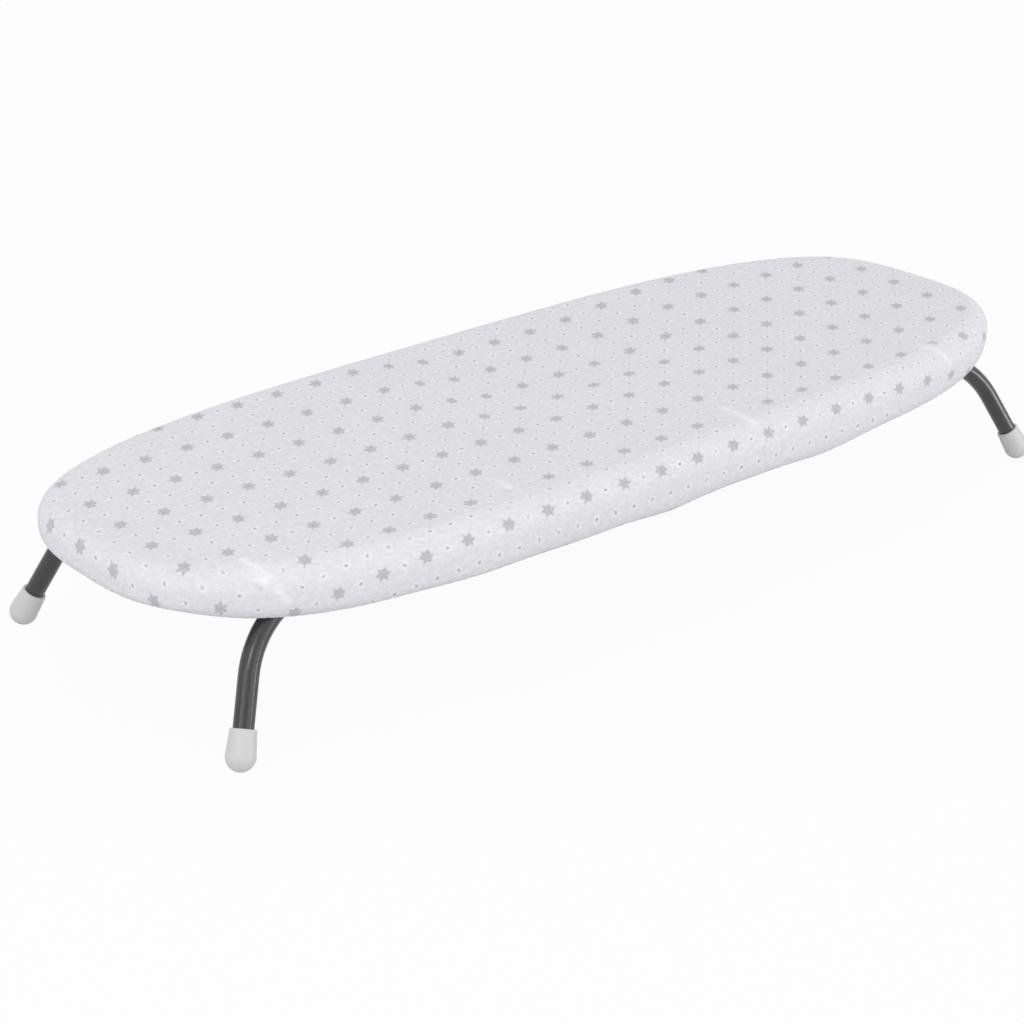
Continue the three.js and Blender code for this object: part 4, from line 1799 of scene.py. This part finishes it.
def bent_strip(line: np.ndarray, thickness: float, half_width: np.ndarray) -> tuple[np.ndarray, list]:
    """A strip of sheet bent along a flat line, closed all round.

    Each point of the line moves half the thickness to both sides along the line's own normal, and
    half the strip's width to both edges.

    Args:
        line: Points of the bent line, across and up.
        thickness: Thickness of the sheet.
        half_width: Half of the strip's width at each point.

    Returns:
        Points as across, up and sideways, and faces.
    """
    along = np.gradient(line, axis=0)
    along /= np.linalg.norm(along, axis=1, keepdims=True)
    normal = np.stack([-along[:, 1], along[:, 0]], axis=-1) * thickness / 2
    corners = ((normal, -half_width), (normal, half_width), (-normal, half_width), (-normal, -half_width))
    points = np.stack([np.column_stack([line + out, edge]) for out, edge in corners], axis=1)
    start = np.arange(len(corners))
    end = points.size // 3 - 1 - start
    return points, [*grid_quads(*points.shape[:2]).tolist(), start.tolist(), end.tolist()]


@dataclass
class CrossRail:
    """A hat-section rail of pressed steel across the underside of the panel."""

    end: End
    finish: CoatedSheet = field(default_factory=CoatedSheet)
    sheet: float = 1.2 * MM
    lip: float = 9 * MM
    slope: float = 3 * MM
    bend: float = 2.4 * MM
    eased: float = 0.3 * MM

    def build(self) -> None:
        """Press the rail: a bent line of lips, walls and web, drawn out to the rail's length."""
        node = f"cross_rail_{self.end.word}"
        low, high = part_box(node)
        half = (high.x - low.x) / 2
        shoulder = half - self.lip
        foot = shoulder - self.slope
        upper, lower = high.z - self.sheet / 2, low.z + self.sheet / 2
        side = [(half, upper), (shoulder, upper), (foot, lower)]
        line = rounded_line([(-x, z) for x, z in side] + side[::-1], self.bend)
        points, faces = bent_strip(line, self.sheet, np.full(len(line), high.y))
        points = points[..., [0, 2, 1]] + ((low.x + high.x) / 2, 0, 0)
        rail = make_piece(f"rail_pressed_{self.end.word}", points, faces)
        soften_edges(rail, self.eased)
        hand_over(rail, Body.BOARD, self.finish, node)


@dataclass
class Hinge:
    """One saddle strap with its two rivets, and the stop lug beside it."""

    side: Side
    end: End
    tube: float
    axis: np.ndarray
    strap_finish: ZincPlate = field(default_factory=ZincPlate)
    lug_finish: LegEnamel = field(default_factory=LegEnamel)
    fit: float = 0.3 * MM
    strap: float = 1.2 * MM
    strap_bend: float = 1.8 * MM
    strap_eased: float = 0.24 * MM
    loop_rings: int = 24
    foot_round: float = 5 * MM
    foot_rings: int = 7
    head_seat: float = 0.02 * MM
    shank_share: float = 0.55
    tail_share: float = 0.85
    dome_rings: int = 9
    rivet_sides: int = 24
    lug_nose: float = 4.5 * MM
    lug_from: float = 85.0
    lug_to: float = -30.0
    lug_rings: int = 12
    lug_sink: float = 0.2 * MM
    lug_eased: float = 0.5 * MM

    @property
    def label(self) -> str:
        """Where the hinge sits, as the frame's nodes write it."""
        return f"{self.side.word}_{self.end.word}"

    def build(self) -> None:
        """Make the strap, its rivets and the lug."""
        self.build_strap()
        for place in ("outer", "inner"):
            self.build_rivet(f"{self.label}_{place}")
        self.build_lug()

    def build_strap(self) -> None:
        """Bend the strap: a rounded foot, a wall, half a turn under the tube, and back up.

        The foot's toe is half a circle, so the strap's width falls off there as its chords do.
        """
        node = f"hinge_saddle_{self.label}"
        low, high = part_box(node)
        reach = (high.y - low.y) / 2
        radius = self.tube / 2 + self.fit + self.strap / 2
        foot = high.z - self.strap / 2 - self.axis[1]
        ease = self.foot_round * (1 - np.cos(arc(0, 90, self.foot_rings)))
        toe = np.stack([ease - reach, np.full(len(ease), foot)], axis=-1)
        leg = rounded_line([tuple(toe[-1]), (-radius, foot), (-radius, 0)], self.strap_bend)
        loop = radius * unit_circle(arc(180, 360, self.loop_rings)[1:-1])
        arm = np.concatenate([toe, leg[1:]])
        line = np.concatenate([arm, loop, arm[::-1] * (-1, 1)])
        from_toe = np.minimum(line[:, 0] + reach, reach - line[:, 0])
        left = np.clip(self.foot_round - from_toe, 0, self.foot_round)
        half_width = (high.x - low.x) / 2 - self.foot_round + np.sqrt(self.foot_round**2 - left**2)
        points, faces = bent_strip(line, self.strap, half_width)
        points = points[..., [2, 0, 1]] + ((low.x + high.x) / 2, *self.axis)
        strap = make_piece(f"saddle_strap_{self.label}", points, faces)
        soften_edges(strap, self.strap_eased)
        hand_over(strap, Body.BOARD, self.strap_finish, node)

    def build_rivet(self, label: str) -> None:
        """Set a rivet: a domed head below, a shank, and a flatter set tail above.

        Head and tail are halves of ellipses turned about the rivet's axis.

        Args:
            label: Which rivet it is.
        """
        node = f"rivet_{label}"
        low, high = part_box(node)
        head = (high.x - low.x) / 2
        quarter = arc(0, 90, self.dome_rings)
        under = self.tube / 2 - self.strap
        head_top = under + self.head_seat
        dome = head_top - (low.z - self.axis[1])
        tail_seat = under + self.strap + self.fit + self.strap
        tail = high.z - self.axis[1] - tail_seat
        profile = [
            (head * np.sin(quarter), head_top - dome * np.cos(quarter)),
            ([head * self.shank_share] * 2, [under, tail_seat]),
            (head * self.tail_share * np.cos(quarter), tail_seat + tail * np.sin(quarter)),
        ]
        middle = (low + high) / 2
        centre = np.array([middle.x, middle.y, self.axis[1]])
        rivet = make_piece(f"rivet_set_{label}", lathe(profile, centre, np.eye(3), self.rivet_sides))
        hand_over(rivet, Body.BOARD, self.strap_finish, node)

    def build_lug(self) -> None:
        """Weld on the stop lug: an arc that hugs the tube, closed by a blunt nose."""
        node = f"leg_stop_{self.label}"
        low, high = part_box(node)
        hug = (self.tube / 2 - self.lug_sink) * unit_circle(arc(self.lug_from, self.lug_to, self.lug_rings))
        reach = max(abs(low.y - self.axis[0]), abs(high.y - self.axis[0]))
        level = high.z - self.axis[1]
        nose = [(reach, level - self.lug_nose), (reach, level), (hug[0, 0], level)]
        outline = np.concatenate([hug, nose]) * (self.side.value, 1) + self.axis
        points = np.stack([np.insert(outline, 0, x, axis=1) for x in (low.x, high.x)])
        count = len(outline)
        around = np.arange(count)
        faces = [*grid_quads(2, count).tolist(), around[::-1].tolist(), (around + count).tolist()]
        lug = make_piece(f"stop_lug_{self.label}", points, faces)
        soften_edges(lug, self.lug_eased)
        hand_over(lug, self.side.legs, self.lug_finish, node)


@dataclass
class LegFrame:
    """One folding leg frame: a tube bent at both ends, with a cap on each foot."""

    side: Side
    axis: np.ndarray
    feet: float
    finish: LegEnamel = field(default_factory=LegEnamel)
    cap_finish: CapPlastic = field(default_factory=CapPlastic)
    tube: float = 12.7 * MM
    wall: float = 1 * MM
    sides: int = 40
    bend: float = 63 * MM
    bend_rings: int = 26
    tilt: float = math.radians(20.6)
    lean: float = math.radians(23.1)
    fit: float = 0.3 * MM
    cap_play: float = 0.1 * MM
    cap_wall: float = 2.55 * MM
    cap_mouth_wall: float = 1.4 * MM
    cap_grip: float = 15 * MM
    cap_floor: float = 1 * MM
    cap_flat: float = 0.5 * MM
    cap_rings: int = 14
    taper_rings: int = 6
    mouth_round: float = 0.7 * MM
    mouth_rings: int = 6
    cap_sides: int = 56

    @property
    def cap_radius(self) -> float:
        """Radius of a cap's round bottom."""
        return self.tube / 2 + self.fit + self.cap_wall

    @property
    def drop(self) -> float:
        """Length down the frame's plane from the hinge axis to the middle of a cap's round."""
        return (self.axis[1] - self.cap_radius + self.cap_flat) / math.cos(self.tilt)

    @property
    def down(self) -> np.ndarray:
        """Unit direction down the frame's tilted plane."""
        return np.array([0, self.side.value * math.sin(self.tilt), -math.cos(self.tilt)])

    def build(self) -> None:
        """Bend the tube and push on the two caps."""
        self.build_tube()
        for end in End:
            self.build_cap(end)

    def path(self) -> tuple[np.ndarray, np.ndarray]:
        """Centre line of the tube in its plane, from the left foot to the right one.

        From the middle, the crossbar runs straight to the bend, an arc turns down to the leg's
        lean, and the leg runs straight to the floor of the cap. The left half mirrors the right.

        Returns:
            Places along the board and down the plane, and the directions there.
        """
        turn = np.linspace(0, math.pi / 2 - self.lean, self.bend_rings)
        bar = self.feet - self.drop * math.tan(self.lean) - self.bend * math.tan(turn[-1] / 2)
        bent = np.stack([bar + self.bend * np.sin(turn), self.bend * (1 - np.cos(turn))], axis=-1)
        heading = unit_circle(turn)
        foot = np.array([[self.feet, self.drop]]) - (self.cap_floor + self.fit) * heading[-1:]
        right, ahead = np.concatenate([bent, foot]), np.concatenate([heading, heading[-1:]])
        left, behind = right[::-1] * (-1, 1), ahead[::-1] * (1, -1)
        return np.concatenate([left, right]), np.concatenate([behind, ahead])

    def build_tube(self) -> None:
        """Carry the tube's outer and inner circles along its path, joined at both ends."""
        place, heading = self.path()
        centre = place[:, :1] * ALONG + place[:, 1:] * self.down + (0, *self.axis)
        along = heading[:, :1] * ALONG + heading[:, 1:] * self.down
        square = np.cross(ALONG, self.down)
        inward = np.cross(square, along)
        turn = full_turn(self.sides)[:, None]
        spoke = np.cos(turn) * inward[:, None] + np.sin(turn) * square
        radii = (self.tube / 2, self.tube / 2 - self.wall)
        outer, inner = (centre[:, None] + radius * spoke for radius in radii)
        tube = make_piece(f"leg_tube_{self.side.word}", np.concatenate([inner[:1], outer, inner[::-1]]))
        hand_over(tube, self.side.legs, self.finish, f"leg_frame_{self.side.word}")

    def build_cap(self, end: End) -> None:
        """Mould a cap: a half round bottom, a slightly tapered wall and a rounded mouth.

        The profile is turned about the leg's own line, and what would lie below the table is
        pressed up to it.

        Args:
            end: Which end of the frame.
        """
        label = f"{self.side.word}_{end.word}"
        bore = self.tube / 2 + self.cap_play
        mouth = self.tube / 2 + self.fit + self.cap_mouth_wall
        top = self.cap_floor + self.cap_grip
        edge = top - self.mouth_round
        bottom = arc(-90, 0, self.cap_rings)
        taper = np.linspace(0, 1, self.taper_rings + 2)[1:-1]
        lip = arc(0, 90, self.mouth_rings)
        profile = [
            (self.cap_radius * np.cos(bottom), self.cap_radius * np.sin(bottom)),
            (self.cap_radius + (mouth - self.cap_radius) * taper, edge * taper),
            (mouth - self.mouth_round * (1 - np.cos(lip)), edge + self.mouth_round * np.sin(lip)),
            ([bore, bore, 0], [top, self.cap_floor, self.cap_floor]),
        ]
        up = -math.sin(self.lean) * end.value * ALONG - math.cos(self.lean) * self.down
        across = np.cross(up, self.down)
        across /= np.linalg.norm(across)
        axes = np.stack([across, np.cross(up, across), up])
        centre = np.array([end.value * self.feet, *self.axis]) + self.drop * self.down
        points = lathe(profile, centre, axes, self.cap_sides)
        points[..., 2] = np.maximum(points[..., 2], 0)
        cap = make_piece(f"foot_thimble_{label}", points)
        hand_over(cap, self.side.legs, self.cap_finish, f"foot_cap_{label}")


@dataclass(frozen=True)
class Softbox:
    """A studio lamp: its place, its width and height, and its power."""

    name: str
    place: tuple[float, float, float]
    size: tuple[float, float]
    power: float

    def hang(self, target: Vector) -> None:
        """Hang the lamp facing a target.

        Args:
            target: Point that it faces.
        """
        lamp = bpy.data.lights.new(self.name, "AREA")
        lamp.shape = "RECTANGLE"
        lamp.size, lamp.size_y = self.size
        lamp.energy = self.power
        holder = bpy.data.objects.new(self.name, lamp)
        holder.location = self.place
        holder.rotation_euler = (target - holder.location).to_track_quat("-Z", "Y").to_euler()
        bpy.context.scene.collection.objects.link(holder)


@dataclass
class Studio:
    """The camera at the photograph's place, the white floor, and soft even light."""

    camera_place: tuple[float, float, float] = (-0.9947, -1.10649, 0.68958)
    azimuth: float = math.radians(-40.71)
    elevation: float = math.radians(24.35)
    sensor: float = 36.0
    lens: float = 81.92
    floor_half: float = 8.0
    floor_colour: str = "#D8D8D8"
    floor_lift: float = 0.955
    sky: float = 0.845
    sky_colour: str = "#FFFFFF"
    softboxes: tuple[Softbox, ...] = (
        Softbox("front_softbox", (0.2, -2.6, 0.5), (1.2, 1.2), 5.0),
        Softbox("left_softbox", (-2.3, -0.6, 0.8), (1.2, 1.2), 6.0),
        Softbox("right_softbox", (1.5, -1.75, 0.17), (1.0, 0.3), 7.5),
        Softbox("upper_softbox", (-1.59, -1.0, 1.63), (0.3, 0.3), 6.0),
    )

    def build(self) -> None:
        """Set up the camera, the lamps, the floor and the sky."""
        scene = bpy.context.scene
        scene.view_settings.view_transform = "Standard"
        lens = bpy.data.cameras.new("photo_camera")
        lens.sensor_width = self.sensor
        lens.lens = self.lens
        camera = bpy.data.objects.new("photo_camera", lens)
        camera.location = self.camera_place
        camera.rotation_euler = (math.pi / 2 - self.elevation, 0, self.azimuth)
        scene.collection.objects.link(camera)
        scene.camera = camera
        low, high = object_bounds()
        for softbox in self.softboxes:
            softbox.hang((low + high) / 2)
        self.lay_floor()
        scene.world = bpy.data.worlds.new("studio_sky")
        shade(scene.world, self.sky_shader)

    def lay_floor(self) -> None:
        """Lay the floor: one wide square at the height that the feet stand on."""
        half = self.floor_half
        corners = np.array([(-half, -half, 0), (half, -half, 0), (half, half, 0), (-half, half, 0)])
        floor = make_piece("studio_floor", corners, [[0, 1, 2, 3]], closed=False)
        material = bpy.data.materials.new("studio_floor")
        shade(material, self.floor_shader)
        floor.data.materials.append(material)
        floor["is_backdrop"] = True

    def floor_shader(self, tree: Tree) -> Socket:
        """The pale floor, lit for the object and lifted to white for the camera.

        Seen from below, the floor is clear, so that views of the underside show the board.

        Args:
            tree: The floor's node tree.

        Returns:
            Its shader.
        """
        paint = add_node(tree, "BsdfDiffuse", {"Color": linear(self.floor_colour)})
        white = add_node(tree, "Emission", {"Strength": 1.0})
        share = add_node(tree, "Math", (self.seen_directly(tree), self.floor_lift), operation="MULTIPLY")
        lifted = add_node(tree, "MixShader", (share, paint, white))
        below = add_node(tree, "NewGeometry", out="Backfacing")
        return add_node(tree, "MixShader", (below, lifted, add_node(tree, "BsdfTransparent")))

    def sky_shader(self, tree: Tree) -> Socket:
        """Even light on the board from all round; what is seen of the sky is white.

        Args:
            tree: The sky's node tree.

        Returns:
            Its shader.
        """
        limits = {"To Min": self.sky, "To Max": 1.0}
        strength = add_node(tree, "MapRange", {"Value": self.seen_directly(tree)} | limits)
        return add_node(tree, "Background", {"Color": linear(self.sky_colour), "Strength": strength})

    @staticmethod
    def seen_directly(tree: Tree) -> Socket:
        """Whether a ray comes from the camera, straight or by way of gloss or glass.

        Args:
            tree: Node tree that asks.

        Returns:
            1 for such a ray, 0 for light on its way.
        """
        camera = add_node(tree, "LightPath", out="Is Camera Ray")
        seen = camera
        for other in ("Is Glossy Ray", "Is Transmission Ray"):
            seen = add_node(tree, "Math", (seen, camera.node.outputs[other]), operation="MAXIMUM")
        return seen


def hinge_axis(side: Side) -> np.ndarray:
    """Y and Z of the hinge that a leg frame folds on."""
    joints = {joint["name"]: joint for joint in frame["record"]["behaviour"]["joints"]}
    return np.array(joints[f"{side.word}_leg_fold"]["pos_m"][1:])


def foot_reach() -> float:
    """Distance of the feet from the middle of the board, along it, in metres."""
    mounts = {mount["name"]: mount for mount in frame["record"]["mounts"]}
    return abs(mounts["foot_front_right"]["pos_m"][0])


def main() -> None:
    """Build the board's sub-assemblies in order, then the studio."""
    logging.basicConfig(level=logging.INFO, format="%(name)s: %(message)s")
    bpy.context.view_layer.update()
    low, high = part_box("cover")
    layers = Layers(BoardOutline((high.x - low.x) / 2, (high.y - low.y) / 2), high.z)
    cover = Cover(layers)
    cover.build()
    Underlay(layers).build()
    HemElastic(layers, cover).build()
    TopPanel(layers).build()
    for end in End:
        CrossRail(end).build()
    for side in Side:
        legs = LegFrame(side, hinge_axis(side), foot_reach())
        legs.build()
        for end in End:
            Hinge(side, end, legs.tube, legs.axis).build()
    Studio().build()


if __name__ == "__main__":
    main()
